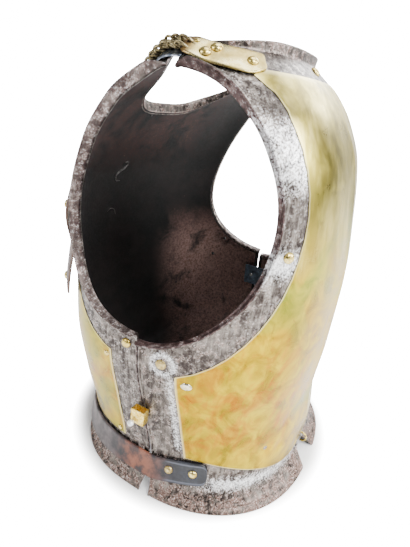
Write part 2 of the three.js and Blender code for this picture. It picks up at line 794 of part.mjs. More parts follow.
// The pin's stem stands in the staple's hole and ends in a ball outside it.
function sidePin() {
  const { stemRadius, ballRadius } = pin;
  const neckAngle = Math.asin(stemRadius / ballRadius);
  const profile = [new THREE.Vector2(0, 0), new THREE.Vector2(stemRadius, 0)];
  const stemLength = 5;
  const ballCentre = stemLength + ballRadius * Math.cos(neckAngle);
  const rings = 4;
  for (let i = 0; i <= rings; i += 1) {
    const turn = neckAngle + (Math.PI - neckAngle) * i / rings;
    const r = i === rings ? 0 : ballRadius * Math.sin(turn);
    profile.push(new THREE.Vector2(r, ballCentre - ballRadius * Math.cos(turn)));
  }
  const body = new THREE.LatheGeometry(profile, 7);
  body.rotateZ(Math.PI / 2);
  const face = halfWidth(staple.z) + staple.clear + staple.out;
  body.translate(-face + stemLength - 0.6, seam(staple.z) + pin.behind, pin.z);
  return body;
}

addPair('side_staple', sideStaple(), brass);
addPair('side_pin', sidePin(), steel);

// A flat bar inside the plates, across the seam under the armhole.
function innerBar() {
  const lift = -(wall[frontSide] + 1.2);
  const grid = (extra) => [-1, 0, 1].map((row) => (
    [-1, -0.5, 0, 0.5, 1].map((share) => (
      offset(placeAway(innerPlate.z + row * innerPlate.halfHeight, share * innerPlate.halfLength + 0.01),
        lift - extra)))));
  return wallBetween(grid(0), grid(innerPlate.thickness));
}

const innerRivetPlace = placeAway(innerPlate.z, innerPlate.rivetAway);
innerRivetPlace.normal.negate();
addPair('inner_plate', innerBar(), bluedSteel);
addPair('rivet_inner_plate', seated(
  domeHead(2.6), innerRivetPlace, wall[frontSide] + innerPlate.thickness + 1.7), steel);

// ---- the ring at the waist ----

const ring = new THREE.TorusGeometry(waistRing.radius, waistRing.wire, 4, 10);
ring.rotateY(Math.PI / 2);
ring.translate(0, 0, -waistRing.radius);
ring.rotateX(-waistRing.swing);
ring.translate(waistRing.x, frontPlace.point.y + wall[frontSide] / 2, waistRing.z);
addPiece('waist_ring', ring, brass);

// The origin is under the middle of the whole, on the floor.
const bounds = new THREE.Box3().setFromObject(cuirass);
cuirass.position.y = -(bounds.min.y + bounds.max.y) / 2;

export default cuirass;
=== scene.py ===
import math
from functools import partial

import bpy
import numpy as np
from mathutils import Matrix, Vector


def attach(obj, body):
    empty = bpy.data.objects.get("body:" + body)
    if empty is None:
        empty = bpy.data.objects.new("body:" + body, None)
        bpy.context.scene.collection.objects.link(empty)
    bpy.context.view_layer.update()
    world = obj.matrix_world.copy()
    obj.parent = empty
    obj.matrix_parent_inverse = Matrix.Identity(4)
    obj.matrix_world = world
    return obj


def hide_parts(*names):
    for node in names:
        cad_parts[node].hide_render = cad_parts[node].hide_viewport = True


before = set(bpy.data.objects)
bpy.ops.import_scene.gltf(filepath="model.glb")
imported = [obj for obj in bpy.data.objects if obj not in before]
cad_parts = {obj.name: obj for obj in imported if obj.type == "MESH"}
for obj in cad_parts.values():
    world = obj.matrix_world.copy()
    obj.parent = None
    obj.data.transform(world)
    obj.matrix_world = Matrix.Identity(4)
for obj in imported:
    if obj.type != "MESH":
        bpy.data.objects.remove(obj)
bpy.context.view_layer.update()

# All sizes are in millimetres until a mesh is made. The chest faces -Y, the wearer's right is -X.
mm = 0.001
originShift = np.array([0.0, -1.5385, 0.0])   # the solids' own move to the middle of their box
frontSide, backSide = -1, 1


cameraSettings = {"turn": 23.81, "distance": 472.9, "height": 409.3, "yaw": 2.35, "pitch": 23.01,
                  "roll": 6.84, "lens": 26.9638, "sensor": 36}


# A new object of a camera, lamp or mesh, in the scene.
def addObject(name, data):
    made = bpy.data.objects.new(name, data)
    bpy.context.collection.objects.link(made)
    return made


# The camera stands on a circle round the origin; roll turns its right and up about its line of sight.
def makeCamera(s):
    turn, yaw, pitch, roll = (math.radians(s[k]) for k in ("turn", "yaw", "pitch", "roll"))
    spot = np.array([-math.cos(turn) * s["distance"], -math.sin(turn) * s["distance"], s["height"]])
    flat = np.array([math.cos(turn + yaw), math.sin(turn + yaw), 0.0])
    up = np.array([0.0, 0.0, 1.0])
    ahead = math.cos(pitch) * flat - math.sin(pitch) * up
    right = np.cross(flat, up)
    above = np.cross(right, ahead)
    columns = np.column_stack([math.cos(roll) * right + math.sin(roll) * above,
                               math.cos(roll) * above - math.sin(roll) * right, -ahead,
                               (spot + originShift) * mm])
    data = bpy.data.cameras.new("camera")
    data.sensor_fit = "VERTICAL"
    data.sensor_height = s["sensor"]
    data.lens = s["lens"]
    data.clip_start = 0.01
    camera = addObject("camera", data)
    camera.matrix_world = Matrix([*columns.tolist(), [0, 0, 0, 1]])
    bpy.context.scene.camera = camera


makeCamera(cameraSettings)
print("camera set")

# sRGB hex to linear: each channel above 0.04045 is ((c + 0.055) / 1.055) to the power 2.4.
def toLinear(hexColour):
    value = hexColour.lstrip("#")
    srgb = np.array([int(value[i:i + 2], 16) / 255 for i in (0, 2, 4)])
    linear = np.where(srgb <= 0.04045, srgb / 12.92, ((srgb + 0.055) / 1.055) ** 2.4)
    return (*linear, 1.0)


# Adds one shader node and gives one of its outputs. Settings are the node's own values. Inputs go by
# the socket's name or number, or as a list in the sockets' order, and each is an output to link, a
# hex colour or a value. A ramp's stops are its places and hex colours.
def addNode(tree, kind, settings=None, inputs=(), out=0):
    node = tree.nodes.new("ShaderNode" + kind)
    for key, value in (settings or {}).items():
        if key != "stops":
            setattr(node, key, value)
            continue
        for _ in value[2:]:
            node.color_ramp.elements.new(0.5)
        for element, (position, colour) in zip(node.color_ramp.elements, value):
            element.position = position
            element.color = toLinear(colour)
    for key, value in inputs.items() if isinstance(inputs, dict) else enumerate(inputs):
        if isinstance(value, bpy.types.NodeSocket):
            tree.links.new(value, node.inputs[key])
        else:
            node.inputs[key].default_value = toLinear(value) if isinstance(value, str) else value
    return node.outputs[out] if node.outputs else None


# 3t^2 - 2t^3 of t, where t runs from 0 at low to 1 at high.
def smoothStep(value, low, high):
    t = np.clip((np.asarray(value, float) - low) / (high - low), 0, 1)
    return t * t * (3 - 2 * t)


# e to the power of minus the square of the distance from the middle, in widths.
def bell(value, middle, width):
    return np.exp(-((value - middle) / width) ** 2)


# Angles of count points round a circle.
def circle(count):
    return np.linspace(0, 2 * math.pi, count, endpoint=False)


# Length of a line up to each of its points: the running sum of its steps.
def lengthAlong(points):
    steps = np.linalg.norm(np.diff(points, axis=-2), axis=-1)
    return np.concatenate([0 * steps[..., :1], np.cumsum(steps, axis=-1)], axis=-1)


# How wide a strip is near its end: 1 - (1 - share)^power of the distance over the reach, to the root.
def roundedEnd(fromEnd, reach, power, least, root=1.0):
    return np.clip(1 - (1 - np.clip(fromEnd / reach, 0, 1)) ** power, least, 1) ** root


# Vectors over their own lengths.
def unit(vectors):
    return vectors / np.maximum(np.linalg.norm(vectors, axis=-1, keepdims=True), 1e-12)


# Four-sided faces of a grid of rows x columns points; each way may close on itself.
def gridFaces(rows, columns, closeRows=False, closeColumns=False):
    i, j = np.meshgrid(np.arange(rows - 1 + closeRows), np.arange(columns - 1 + closeColumns), indexing="ij")
    n, k = (i + 1) % rows, (j + 1) % columns
    return np.stack([i * columns + j, i * columns + k, n * columns + k, n * columns + j], -1).reshape(-1, 4)


# Six times the volume inside the faces: the sum of a . (b x c) over their triangles.
def facesVolume(points, faces):
    a, b, c, d = (points[faces[:, k]] for k in range(4))
    return np.einsum("ij,ij->", a, np.cross(b, c)) + np.einsum("ij,ij->", a, np.cross(c, d))


# Collects the parts of one mesh: points, four-sided faces, end caps, each face's material and each
# point's four wear masks. Each way of adding gives the body back.
class Body:
    def __init__(self):
        self.points, self.faces, self.slots, self.caps, self.wear = [], [], [], [], []
        self.count = 0

    def add(self, points, faces, slots=0, wear=None, caps=()):
        points = points.reshape(-1, 3)
        if facesVolume(points, faces) < 0:
            faces = faces[:, ::-1]
        self.points.append(points)
        self.faces.append(faces + self.count)
        self.slots.append(np.broadcast_to(slots, len(faces)))
        self.wear.append(np.zeros((len(points), 4)) if wear is None else wear.reshape(-1, 4))
        self.caps.extend([(cap + self.count).tolist() for cap in caps])
        self.count += len(points)
        return self

    # Two grids of points joined round their edges. slots are for the outer, inner and edge faces.
    def addWall(self, outer, inner, wear=None, innerWear=None, slots=(0, 0, 0)):
        index = np.arange(outer[..., 0].size).reshape(outer.shape[:2])
        loop = np.concatenate([index[0, :-1], index[:-1, -1], index[-1, :0:-1], index[:0:-1, 0]])
        after, far = np.roll(loop, -1), index.size
        front = gridFaces(*index.shape)
        edges = np.stack([after, loop, far + loop, far + after], -1)
        which = np.repeat(slots, [len(front), len(front), len(loop)])
        wear = np.zeros((*index.shape, 4)) if wear is None else wear
        both = np.stack([wear, wear if innerWear is None else innerWear])
        faces = np.concatenate([front, front[:, ::-1] + far, edges])
        return self.add(np.stack([outer, inner]), faces, which, both)

    # Rings of points skinned into a tube, closed on itself or capped at both ends.
    def addTube(self, rings, slots=0, wear=None, closed=False):
        rows, around = rings.shape[:2]
        faces = gridFaces(rows, around, closed, True)
        turn = 1 if facesVolume(rings.reshape(-1, 3), faces) < 0 else -1
        ends = [np.arange(around)[::turn], np.arange(around)[::-turn] + (rows - 1) * around]
        return self.add(rings, faces, slots, wear, () if closed else ends)

    def mesh(self, name, looks, sharp):
        data = bpy.data.meshes.new(name)
        points = (np.concatenate(self.points) + originShift) * mm
        data.from_pydata(points.tolist(), [], np.concatenate(self.faces).tolist() + self.caps)
        for look in looks:
            data.materials.append(finish[look])
        which = np.concatenate([*self.slots, np.zeros(len(self.caps))])
        data.polygons.foreach_set("material_index", which.astype(np.int32))
        painted = data.attributes.new("wear", "FLOAT_COLOR", "POINT")
        painted.data.foreach_set("color", np.concatenate(self.wear).astype(np.float32).ravel())
        data.shade_smooth()
        data.set_sharp_from_angle(angle=math.radians(sharp))
        data.update()
        return addObject(name.replace(" ", "_"), data)


# Makes a body's mesh and puts it on the root in place of its solid.
def place(body, name, node, looks, sharp=40):
    piece = body.mesh(name, looks, sharp)
    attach(piece, "root")
    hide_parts(node)


# The four masks side by side: red, green, blue and alpha.
def masks(shape, red=0, green=0, blue=0, alpha=0):
    return np.stack([np.broadcast_to(mask, shape).astype(float) for mask in (red, green, blue, alpha)], -1)


# A wall standing on a surface between two distances from it, along its normals.
def raisedWall(point, normal, low, high, wear=None):
    grids = (point + normal * (rise + 0 * point[..., 0])[..., None] for rise in (high, low))
    return Body().addWall(*grids, wear)


# z, half width at the seam, reach of the front, reach of the back, place of the seam
sections = np.array([
    [0, 160, 157, 135, -13], [22, 150, 140, 137, -12], [48, 145, 140, 134, -10],
    [100, 150, 136, 149, -3], [170, 157, 140, 158, 5], [240, 156, 141, 159, 6],
    [310, 162, 134, 151, 9], [365, 164, 124, 121, 10], [400, 157, 108, 90, 9],
    [425, 133, 90, 56, 10], [445, 107, 68, 39, 15], [465, 70, 41, 19, 15]], float)
fullness = {frontSide: (2.63, 2.08), backSide: (2.2, 2.84)}   # how square, across and fore and aft
keel = {"height": 4, "spread": 24, "bottom": 15, "top": 450, "fade": 70}
armhole = {"bottom": {frontSide: 192, backSide: 198}, "top": 430, "lip": 10.7,
           "reach": {frontSide: 108, backSide: 80}, "lean": {frontSide: -0.05, backSide: 0.42}}
seamGap = {"side": 2, "shoulder": 4, "rim": 6, "rimHeight": 26, "turnedEdge": 1.5}
neck = {"side": 452, "squareness": 3.7, "power": 0.75,
        "drop": {frontSide: 0, backSide: 61}, "fade": {frontSide: 60, backSide: 200},
        "lip": {frontSide: 8.5, backSide: 8.5},
        "outward": {frontSide: 0.61, backSide: 0.38}, "upward": {frontSide: 0.79, backSide: 0.92}}
wall = {frontSide: 2.4, backSide: 1.6}
rim = {"height": 5, "swell": 1.6, "second": 0.55, "secondAt": 2.2, "secondWidth": 0.8,
       "reach": 12}
notch = {"topHalf": 14, "shoulder": 14, "top": 19, "slope": 1.9, "fade": 62}


# Cubic through the rows with the harmonic mean of the slopes as tangents, so it never overshoots.
def smoothTable(x, y):
    x, y = np.asarray(x, float), np.asarray(y, float)
    step = np.diff(x)
    slope = np.diff(y) / step
    before, after = 2 * step[1:] + step[:-1], step[1:] + 2 * step[:-1]
    same = slope[:-1] * slope[1:] > 0
    safe = np.where(same, slope[:-1], 1), np.where(same, slope[1:], 1)
    middle = np.where(same, (before + after) / (before / safe[0] + after / safe[1]), 0)
    tangent = np.concatenate([[slope[0]], middle, [slope[-1]]])

    def curve(at):
        at = np.asarray(at, float)
        i = np.clip(np.searchsorted(x, at, side="left") - 1, 0, len(step) - 1)
        h = step[i]
        t = np.clip((at - x[i]) / h, 0, 1)
        u = 1 - t
        return (y[i] * (1 + 2 * t) * u * u + tangent[i] * h * t * u * u
                + y[i + 1] * t * t * (3 - 2 * t) - tangent[i + 1] * h * t * t * u)
    return curve


halfWidth, frontReach, backReach, seam = (smoothTable(sections[:, 0], sections[:, k]) for k in (1, 2, 3, 4))


# From the seam to the front or the back of a level's section.
def depth(side, z):
    return frontReach(z) + seam(z) if side == frontSide else backReach(z) - seam(z)


# x = -halfWidth cos^(2/wide), y = seam -+ depth sin^(2/deep), plus the soft ridge down the chest.
def bodyPoint(side, angle, z):
    wide, deep = fullness[side]
    angle, z = np.broadcast_arrays(np.asarray(angle, float), np.asarray(z, float))
    x = -halfWidth(z) * np.maximum(0, np.cos(angle)) ** (2 / wide)
    y = seam(z) + side * depth(side, z) * np.maximum(0, np.sin(angle)) ** (2 / deep)
    if side == frontSide:
        share = (smoothStep(z, keel["bottom"], keel["bottom"] + keel["fade"])
                 * (1 - smoothStep(z, keel["top"] - keel["fade"], keel["top"])))
        y = y - keel["height"] * share * (np.exp(x / keel["spread"]) - 0.4)
    return np.stack([x, y, z], -1)


# The point and the outward normal, the cross product of the two small steps over the surface.
def bodyPlace(side, angle, z):
    angle, z = np.broadcast_arrays(np.asarray(angle, float), np.asarray(z, float))
    step = 1e-3
    safe = np.clip(angle, 2 * step, None)
    along = bodyPoint(side, safe + step, z) - bodyPoint(side, safe - step, z)
    up = bodyPoint(side, safe, z + 0.5) - bodyPoint(side, safe, z - 0.5)
    normal = unit(np.cross(along, up))
    point = bodyPoint(side, angle, z)
    inward = normal[..., 0] * point[..., 0] + normal[..., 1] * (point[..., 1] - seam(z)) < 0
    normal = np.where(inward[..., None], -normal, normal)
    middle = angle > math.pi / 2 - step
    normal = np.where(middle[..., None], normal * [0, 1, 1], normal)
    return point, unit(normal)


# The angle whose point lies away in front of or behind the seam.
def angleAway(side, z, away):
    return np.arcsin(np.minimum(1, away / depth(side, z)) ** (fullness[side][1] / 2))


# Angles from a start to the middle for each level, and the length of the section up to each.
def measured(side, z, start):
    z, start = np.atleast_1d(z).astype(float), np.atleast_1d(start).astype(float)
    t = np.linspace(0, 1, 161)
    t = 0.5 * t + 0.5 * (3 * t * t - 2 * t ** 3)      # closer together at both ends
    angles = start[:, None] + (math.pi / 2 - start[:, None]) * t
    return angles, lengthAlong(bodyPoint(side, angles, z[:, None]))


# The angle at each share of the way along a level line, by its length.
def angleAlong(side, z, start, shares):
    angles, lengths = measured(side, z, start)
    shares = np.broadcast_to(shares, (len(angles), np.shape(shares)[-1]))
    return np.stack([np.interp(s * l[-1], l, a) for s, l, a in zip(shares, lengths, angles)])


# The share of the way along a level line at each angle.
def shareAt(side, z, start, at):
    angles, lengths = measured(side, z, start)
    return np.stack([np.interp(row, a, l) / l[-1] for row, l, a in zip(at, lengths, angles)])


# A place at a height and a distance from the seam, forward if positive.
def placeAway(z, away):
    z, away = np.broadcast_arrays(np.asarray(z, float), np.asarray(away, float))
    front = bodyPlace(frontSide, angleAway(frontSide, z, np.maximum(away, 0)), z)
    back = bodyPlace(backSide, angleAway(backSide, z, np.maximum(-away, 0)), z)
    ahead = (away >= 0)[..., None]
    return np.where(ahead, front[0], back[0]), np.where(ahead, front[1], back[1])


# Middle height and half height of the armhole oval, grown by extra.
def holeSpan(side, extra=0.0):
    top, bottom = armhole["top"], armhole["bottom"][side]
    return (top + bottom) / 2, (top - bottom) / 2 + extra


# An oval: reach times the root of 1 - c^2, fuller low down by lean.
def armholeReach(side, z, extra=0.0):
    middle, half = holeSpan(side, extra)
    c = np.clip((middle - z) / half, -1, 1)
    return (armhole["reach"][side] + extra) * np.sqrt(1 - c * c) * (1 + armhole["lean"][side] * c)


# How far from the seam the steel begins: the gap at the side, the armhole, or the shoulder gap.
def seamStart(side, z, extra=0.0):
    rimShare = 1 - smoothStep(z, 0, seamGap["rimHeight"])
    sideGap = seamGap["side"] + (seamGap["rim"] - seamGap["side"]) * rimShare
    middle = holeSpan(side)[0]
    gap = np.where(z < middle, sideGap, seamGap["shoulder"]) + extra
    return angleAway(side, z, np.maximum(gap, armholeReach(side, z, extra)))


# Half width of the neckline at a share of the way to the middle: (1 - share)^power.
def neckWidth(share):
    return np.maximum(0, 1 - share) ** neck["power"]


# How much of the neckline's drop a level takes: nothing below the fade, all of it at the top.
def neckFall(side, level):
    fade = neck["fade"][side]
    return np.maximum(0, (level - (neck["side"] - fade)) / fade)


# How far a level line is pulled down to the back neckline, x to the power of squareness.
def neckDrop(side, level, share):
    return neck["drop"][side] * neckFall(side, level) * (1 - neckWidth(share) ** neck["squareness"])


# Turns the top of the back plate so that its neckline keeps to that curve.
def neckTurn(side, level, share):
    if not neck["drop"][side]:
        return np.zeros(np.broadcast(level, share).shape)
    top = float(neck["side"])
    z = top - neckDrop(side, top, share)
    cosine = halfWidth(top) * neckWidth(share) / halfWidth(z)
    goal = np.arccos(np.clip(cosine, 0, 1) ** (fullness[side][0] / 2))
    angles, lengths = measured(side, top, seamStart(side, top))
    at = np.interp(share * lengths[0][-1], lengths[0], angles[0])
    turn = (goal - at) * neckFall(side, level) ** 2
    return np.where((share <= 0) | (share >= 1), 0, turn)


# The other side of the body: x changes sign.
def mirrored(points):
    return points * [-1, 1, 1]


# A right half from its edge to the middle, with its mirror image after it (columns on axis 1).
def bothHalves(rows, turn=(-1, 1, 1)):
    return np.concatenate([rows, rows[:, -2::-1] * np.array(turn)], axis=1)


print("surface ready")


# Noise sockets for patches of about a size in mm.
def patches(where, size, detail, rough, warp=0.0):
    return {"Vector": where, "Scale": 1 / (size * mm), "Detail": detail, "Roughness": rough,
            "Distortion": warp}


# An empty material, its adder of nodes, the object's coordinates, and the four painted masks of a mesh.
def startMaterial(name):
    material = bpy.data.materials.new(name)
    material.use_nodes = True
    material.node_tree.nodes.clear()
    add = partial(addNode, material.node_tree)
    where = add("TexCoord", {}, (), "Object")
    painted = add("Attribute", {"attribute_name": "wear"}, (), "Color")
    parts = add("SeparateColor", {}, [painted]).node.outputs
    return material, add, where, (*parts, painted.node.outputs["Alpha"])


times, plus, minus = ({"operation": name} for name in ("MULTIPLY", "ADD", "SUBTRACT"))
clamp = {"use_clamp": True}
smooth = {"interpolation_type": "SMOOTHSTEP"}
coated = {"data_type": "RGBA"}      # a Mix of colours: 0 is the share, 6 and 7 what is under and over


# Hammered and once polished plate steel, now pitted: brown oxide lies in the pits, with white flecks
# painted as glints between them. The red mask is rust, green the browned face of a turned lip, blue bare
# metal rubbed bright together with painted highlights, alpha a dark line.
def armourSteel():
    material, add, where, (rust, browned, bright, dark) = startMaterial("old polished armour steel")
    blotch = add("TexNoise", {}, patches(where, 18, 6, 0.66, 0.3))
    cloud = add("TexNoise", {}, patches(where, 6.5, 6, 0.62))
    speck = add("TexNoise", {}, patches(where, 1.9, 5, 0.75))
    grain = add("TexNoise", {}, patches(where, 0.9, 3, 0.7))
    hammer = add("TexNoise", {}, patches(where, 30, 2, 0.4))
    drawn = add("Mapping", {}, {"Vector": where, "Scale": (1, 1, 0.1)})
    brushed = add("TexNoise", {}, patches(drawn, 4, 5, 0.7))
    patina = {"stops": [(0.36, "#282221"), (0.5, "#4b4441"), (0.64, "#857d76")]}
    mottle = {"stops": [(0.38, "#211b19"), (0.50, "#4a423e"), (0.62, "#8f867d")]}
    rustTones = {"stops": [(0.35, "#36261f"), (0.5, "#6b5248"), (0.66, "#a88c7e")]}
    lipTones = {"stops": [(0.36, "#2f2120"), (0.5, "#4f3b39"), (0.64, "#7a6662")]}
    streaks = add("Math", times, [add("MapRange", smooth, [brushed, 0.46, 0.62]), 0.3])
    deep = add("MapRange", smooth, [speck, 0.46, 0.38])
    pits = add("Math", times | clamp, [deep, add("MapRange", smooth, [blotch, 0.66, 0.44])])
    rustHere = add("Math", plus, [rust, add("MapRange", smooth, [cloud, 0.40, 0.66, -0.42, 0.42])])
    rustHere = add("Math", plus, [rustHere, add("MapRange", smooth, [speck, 0.3, 0.7, -0.35, 0.35])])
    rustHere = add("MapRange", smooth, [rustHere, 0.35, 0.7])
    lipHere = add("Math", times, [browned, add("MapRange", smooth, [speck, 0.68, 0.5, 0.7, 1.0])])
    # painted highlight: the blue mask carries rubbed bare metal and painted highlights, and noise adds white
    # flecks as painted glints
    rubbed = add("Math", times, [bright, 1.5])
    rubbed = add("Math", plus, [rubbed, add("MapRange", smooth, [speck, 0.35, 0.65, -0.95, 0.1])])
    rubbed = add("Math", plus | clamp, [rubbed, add("MapRange", smooth, [cloud, 0.36, 0.6, -0.3, 0.1])])
    colour = add("ValToRGB", patina, [blotch])
    for share, coat in ((0.5, add("ValToRGB", mottle, [cloud])), (streaks, "#aea69c"), (pits, "#1f1715"),
                        (rustHere, add("ValToRGB", rustTones, [speck])),
                        (lipHere, add("ValToRGB", lipTones, [cloud])), (rubbed, "#f3f4f6"),
                        (add("Math", times, [dark, 0.85]), "#15100f")):
        colour = add("Mix", coated, {0: share, 6: colour, 7: coat}, 2)
    metal = 0.95
    for mask, loss in ((rustHere, 0.7), (browned, 0.45), (rubbed, 0.4)):
        metal = add("Math", minus | clamp, [metal, add("Math", times, [mask, loss])])
    rough = add("MapRange", smooth, [cloud, 0.35, 0.65, 0.44, 0.26])
    rough = add("Math", plus, [rough, add("Math", times, [rustHere, 0.3])])
    rough = add("Math", plus | clamp, [rough, add("Math", times, [pits, 0.2])])
    hammered = add("Bump", {}, {"Height": hammer, "Strength": 0.25, "Distance": 0.8 * mm})
    pitted = add("Bump", {}, {"Height": speck, "Strength": 0.5, "Distance": 0.3 * mm, "Normal": hammered})
    relief = add("Bump", {}, {"Height": grain, "Strength": 0.25, "Distance": 0.1 * mm, "Normal": pitted})
    add("OutputMaterial", {}, [add("BsdfPrincipled", {}, {
        "Base Color": colour, "Metallic": metal, "Roughness": rough, "Normal": relief})])
    return material


# Brown-black oil paint brushed on bare steel, worn to red-brown in clouds and lightened there as painted
# light. The red mask is where it is rubbed and lit, green the painted shade of a hole, blue bare steel,
# alpha where it is worn through and lit.
def insidePaint():
    material, add, where, (rubbed, holeShade, bare, wornThroughAndLit) = startMaterial("old brown-black oil paint")
    cloud = add("TexNoise", {}, patches(where, 40, 6, 0.65, 0.4))
    fine = add("TexNoise", {}, patches(where, 3, 5, 0.7))
    rubbed = add("Math", times | clamp, [rubbed, add("MapRange", smooth, [cloud, 0.34, 0.56])])
    chips = add("Math", plus, [rubbed, 0.15])
    chips = add("Math", times | clamp, [add("MapRange", smooth, [fine, 0.64, 0.70]), chips])
    wornThroughAndLit = add("Math", times | clamp, [wornThroughAndLit, add("MapRange", smooth, [cloud, 0.28, 0.5])])
    brown = {"stops": [(0.38, "#2a1c1a"), (0.62, "#4d3430")]}
    undercoat = {"stops": [(0.38, "#7e5f55"), (0.62, "#b0928a")]}
    steel = {"stops": [(0.35, "#55504e"), (0.65, "#c8c4c1")]}
    colour = add("ValToRGB", {"stops": [(0.35, "#080808"), (0.5, "#0b0a0a"), (0.68, "#151111")]}, [cloud])
    for share, coat in ((rubbed, add("ValToRGB", brown, [fine])),
                        (add("Math", times, [chips, 0.6]), "#8e7670"),
                        (wornThroughAndLit, add("ValToRGB", undercoat, [fine])), (holeShade, "#080505"),
                        (bare, add("ValToRGB", steel, [fine]))):
        colour = add("Mix", coated, {0: share, 6: colour, 7: coat}, 2)
    add("OutputMaterial", {}, [add("BsdfPrincipled", {}, {
        "Base Color": colour, "Roughness": add("MapRange", smooth, [fine, 0.3, 0.7, 0.6, 0.75]),
        "Metallic": add("Math", times, [bare, 0.8]), "IOR": 1.48, "Specular IOR Level": 0.3,
        "Normal": add("Bump", {}, {"Height": fine, "Strength": 0.3, "Distance": 0.2 * mm})})])
    return material


# Rolled and polished brass sheet, hand rubbed and fingered: it tarnishes in clouds from golden to
# orange, olive and green. The red mask is where it went orange, green where it went green, blue a pale
# painted sheen free of tarnish marks, alpha a painted highlight along its edge.
def sheetBrass():
    material, add, where, (orange, green, pale, edgeHighlight) = startMaterial("tarnished sheet brass")
    slanted = add("Mapping", {}, {"Vector": where, "Rotation": (0.0, math.radians(-38), 0.0)})
    wiped = add("Mapping", {}, {"Vector": slanted, "Scale": (1, 1, 0.35)})
    fingered = add("Mapping", {}, {"Vector": slanted, "Scale": (1, 1, 0.6)})
    hung = add("Mapping", {}, {"Vector": where, "Scale": (1, 1, 0.22)})
    wide = add("TexNoise", {}, patches(where, 70, 5, 0.55, 0.8))
    cloud = add("TexNoise", {}, patches(where, 24, 6, 0.6, 1.0))
    streak = add("TexNoise", {}, patches(wiped, 15, 6, 0.65, 0.8))
    upright = add("TexNoise", {}, patches(hung, 22, 4, 0.6, 0.3))
    finger = add("TexNoise", {}, patches(fingered, 11, 7, 0.72, 1.2))
    fine = add("TexNoise", {}, patches(where, 1.6, 4, 0.7))
    wave = add("TexNoise", {}, patches(where, 45, 2, 0.4))
    golden = {"stops": [(0.34, "#7c6300"), (0.5, "#a18400"), (0.64, "#bca000")]}
    sheenTones = {"stops": [(0.38, "#857830"), (0.5, "#aa9c4c"), (0.62, "#c9ba6c")]}
    orangeTones = {"stops": [(0.4, "#985800"), (0.6, "#b57c00")]}
    greenTones = {"stops": [(0.4, "#6b7420"), (0.6, "#93902c")]}
    outsideSheen = add("Math", minus | clamp, [1.0, pale])
    olive = add("Math", times, [add("MapRange", smooth, [streak, 0.50, 0.66]), outsideSheen])
    orange = add("Math", times | clamp, [orange, add("MapRange", smooth, [streak, 0.42, 0.62])])
    green = add("Math", times | clamp, [green, add("MapRange", smooth, [wide, 0.44, 0.60])])
    share = add("Math", plus, [add("Math", times, [outsideSheen, 0.45]), 0.06])
    smear = add("Math", times, [add("MapRange", smooth, [finger, 0.58, 0.70]), share])
    specks = add("Math", times, [add("MapRange", smooth, [fine, 0.70, 0.76]), 0.45])
    colour = add("ValToRGB", golden, [cloud])
    # painted sheen: the pale coat where the blue mask is; painted highlight: the cream coat along the edge
    for share, coat in ((pale, add("ValToRGB", sheenTones, [upright])),
                        (add("Math", times, [olive, 0.4]), "#8a7c1c"),
                        (orange, add("ValToRGB", orangeTones, [cloud])),
                        (green, add("ValToRGB", greenTones, [cloud])), (smear, "#74531a"),
                        (specks, "#54431d"),
                        (add("Math", times, [edgeHighlight, 0.6]), "#efe3b0")):
        colour = add("Mix", coated, {0: share, 6: colour, 7: coat}, 2)
    rough = add("MapRange", smooth, [cloud, 0.3, 0.7, 0.26, 0.38])
    rough = add("Math", plus | clamp, [rough, add("Math", times, [smear, 0.2])])
    wavy = add("Bump", {}, {"Height": wave, "Strength": 0.2, "Distance": 1.0 * mm})
    relief = add("Bump", {}, {"Height": fine, "Strength": 0.08, "Distance": 0.05 * mm, "Normal": wavy})
    add("OutputMaterial", {}, [add("BsdfPrincipled", {}, {
        "Base Color": colour, "Metallic": 1.0, "Roughness": rough, "Normal": relief})])
    return material


# Cast or forged metal, handled smooth: three tones over patches, dark specks in its hollows. The red
# mask is a brown tint, alpha a dark edge and painted shade.
def plainMetal(name, tones, rough, patchSize=6, speckColour="#3a2c18", specks=0.35, metal=1.0):
    material, add, where, (browned, _, _, edge) = startMaterial(name)
    patch = add("TexNoise", {}, patches(where, patchSize, 5, 0.65))
    fine = add("TexNoise", {}, patches(where, 0.8, 4, 0.7))
    specked = add("Math", times | clamp, [add("MapRange", smooth, [fine, 0.60, 0.70]), specks])
    colour = add("ValToRGB", {"stops": list(zip((0.35, 0.5, 0.65), tones))}, [patch])
    for share, coat in ((specked, speckColour), (add("Math", times, [browned, 0.7]), "#9a7350"),
                        (add("Math", times, [edge, 0.8]), speckColour)):
        colour = add("Mix", coated, {0: share, 6: colour, 7: coat}, 2)
    add("OutputMaterial", {}, [add("BsdfPrincipled", {}, {
        "Base Color": colour, "Metallic": metal,
        "Roughness": add("MapRange", smooth, [patch, 0.35, 0.65, rough + 0.08, rough - 0.05]),
        "Normal": add("Bump", {}, {"Height": fine, "Strength": 0.1, "Distance": 0.06 * mm})})])
    return material


# Vegetable tanned hide, dyed: the red mask is where it is rubbed to red-brown, the green mask where
# it has greyed, the blue mask a light blue-grey line near the edges, a painted highlight.
def hideLeather(name, base, worn, scuffed, rough):
    material, add, where, (rubbed, greyed, line, _) = startMaterial(name)
    cloud = add("TexNoise", {}, patches(where, 14, 5, 0.6))
    grain = add("TexVoronoi", {}, {"Vector": where, "Scale": 1 / (1.3 * mm)}, "Distance")
    rubbed = add("Math", times | clamp, [rubbed, add("MapRange", smooth, [cloud, 0.32, 0.56])])
    colour = add("ValToRGB", {"stops": list(zip((0.35, 0.5, 0.66), base))}, [cloud])
    for share, coat in ((rubbed, add("ValToRGB", {"stops": list(zip((0.4, 0.6), worn))}, [cloud])),
                        (greyed, add("ValToRGB", {"stops": list(zip((0.36, 0.62), scuffed))}, [cloud])),
                        (line, "#6d7280")):
        colour = add("Mix", coated, {0: share, 6: colour, 7: coat}, 2)
    creased = add("Bump", {}, {"Height": cloud, "Strength": 0.3, "Distance": 0.5 * mm})
    relief = add("Bump", {}, {"Height": grain, "Strength": 0.3, "Distance": 0.15 * mm, "Normal": creased})
    add("OutputMaterial", {}, [add("BsdfPrincipled", {}, {
        "Base Color": colour, "Roughness": rough, "IOR": 1.45, "Normal": relief})])
    return material


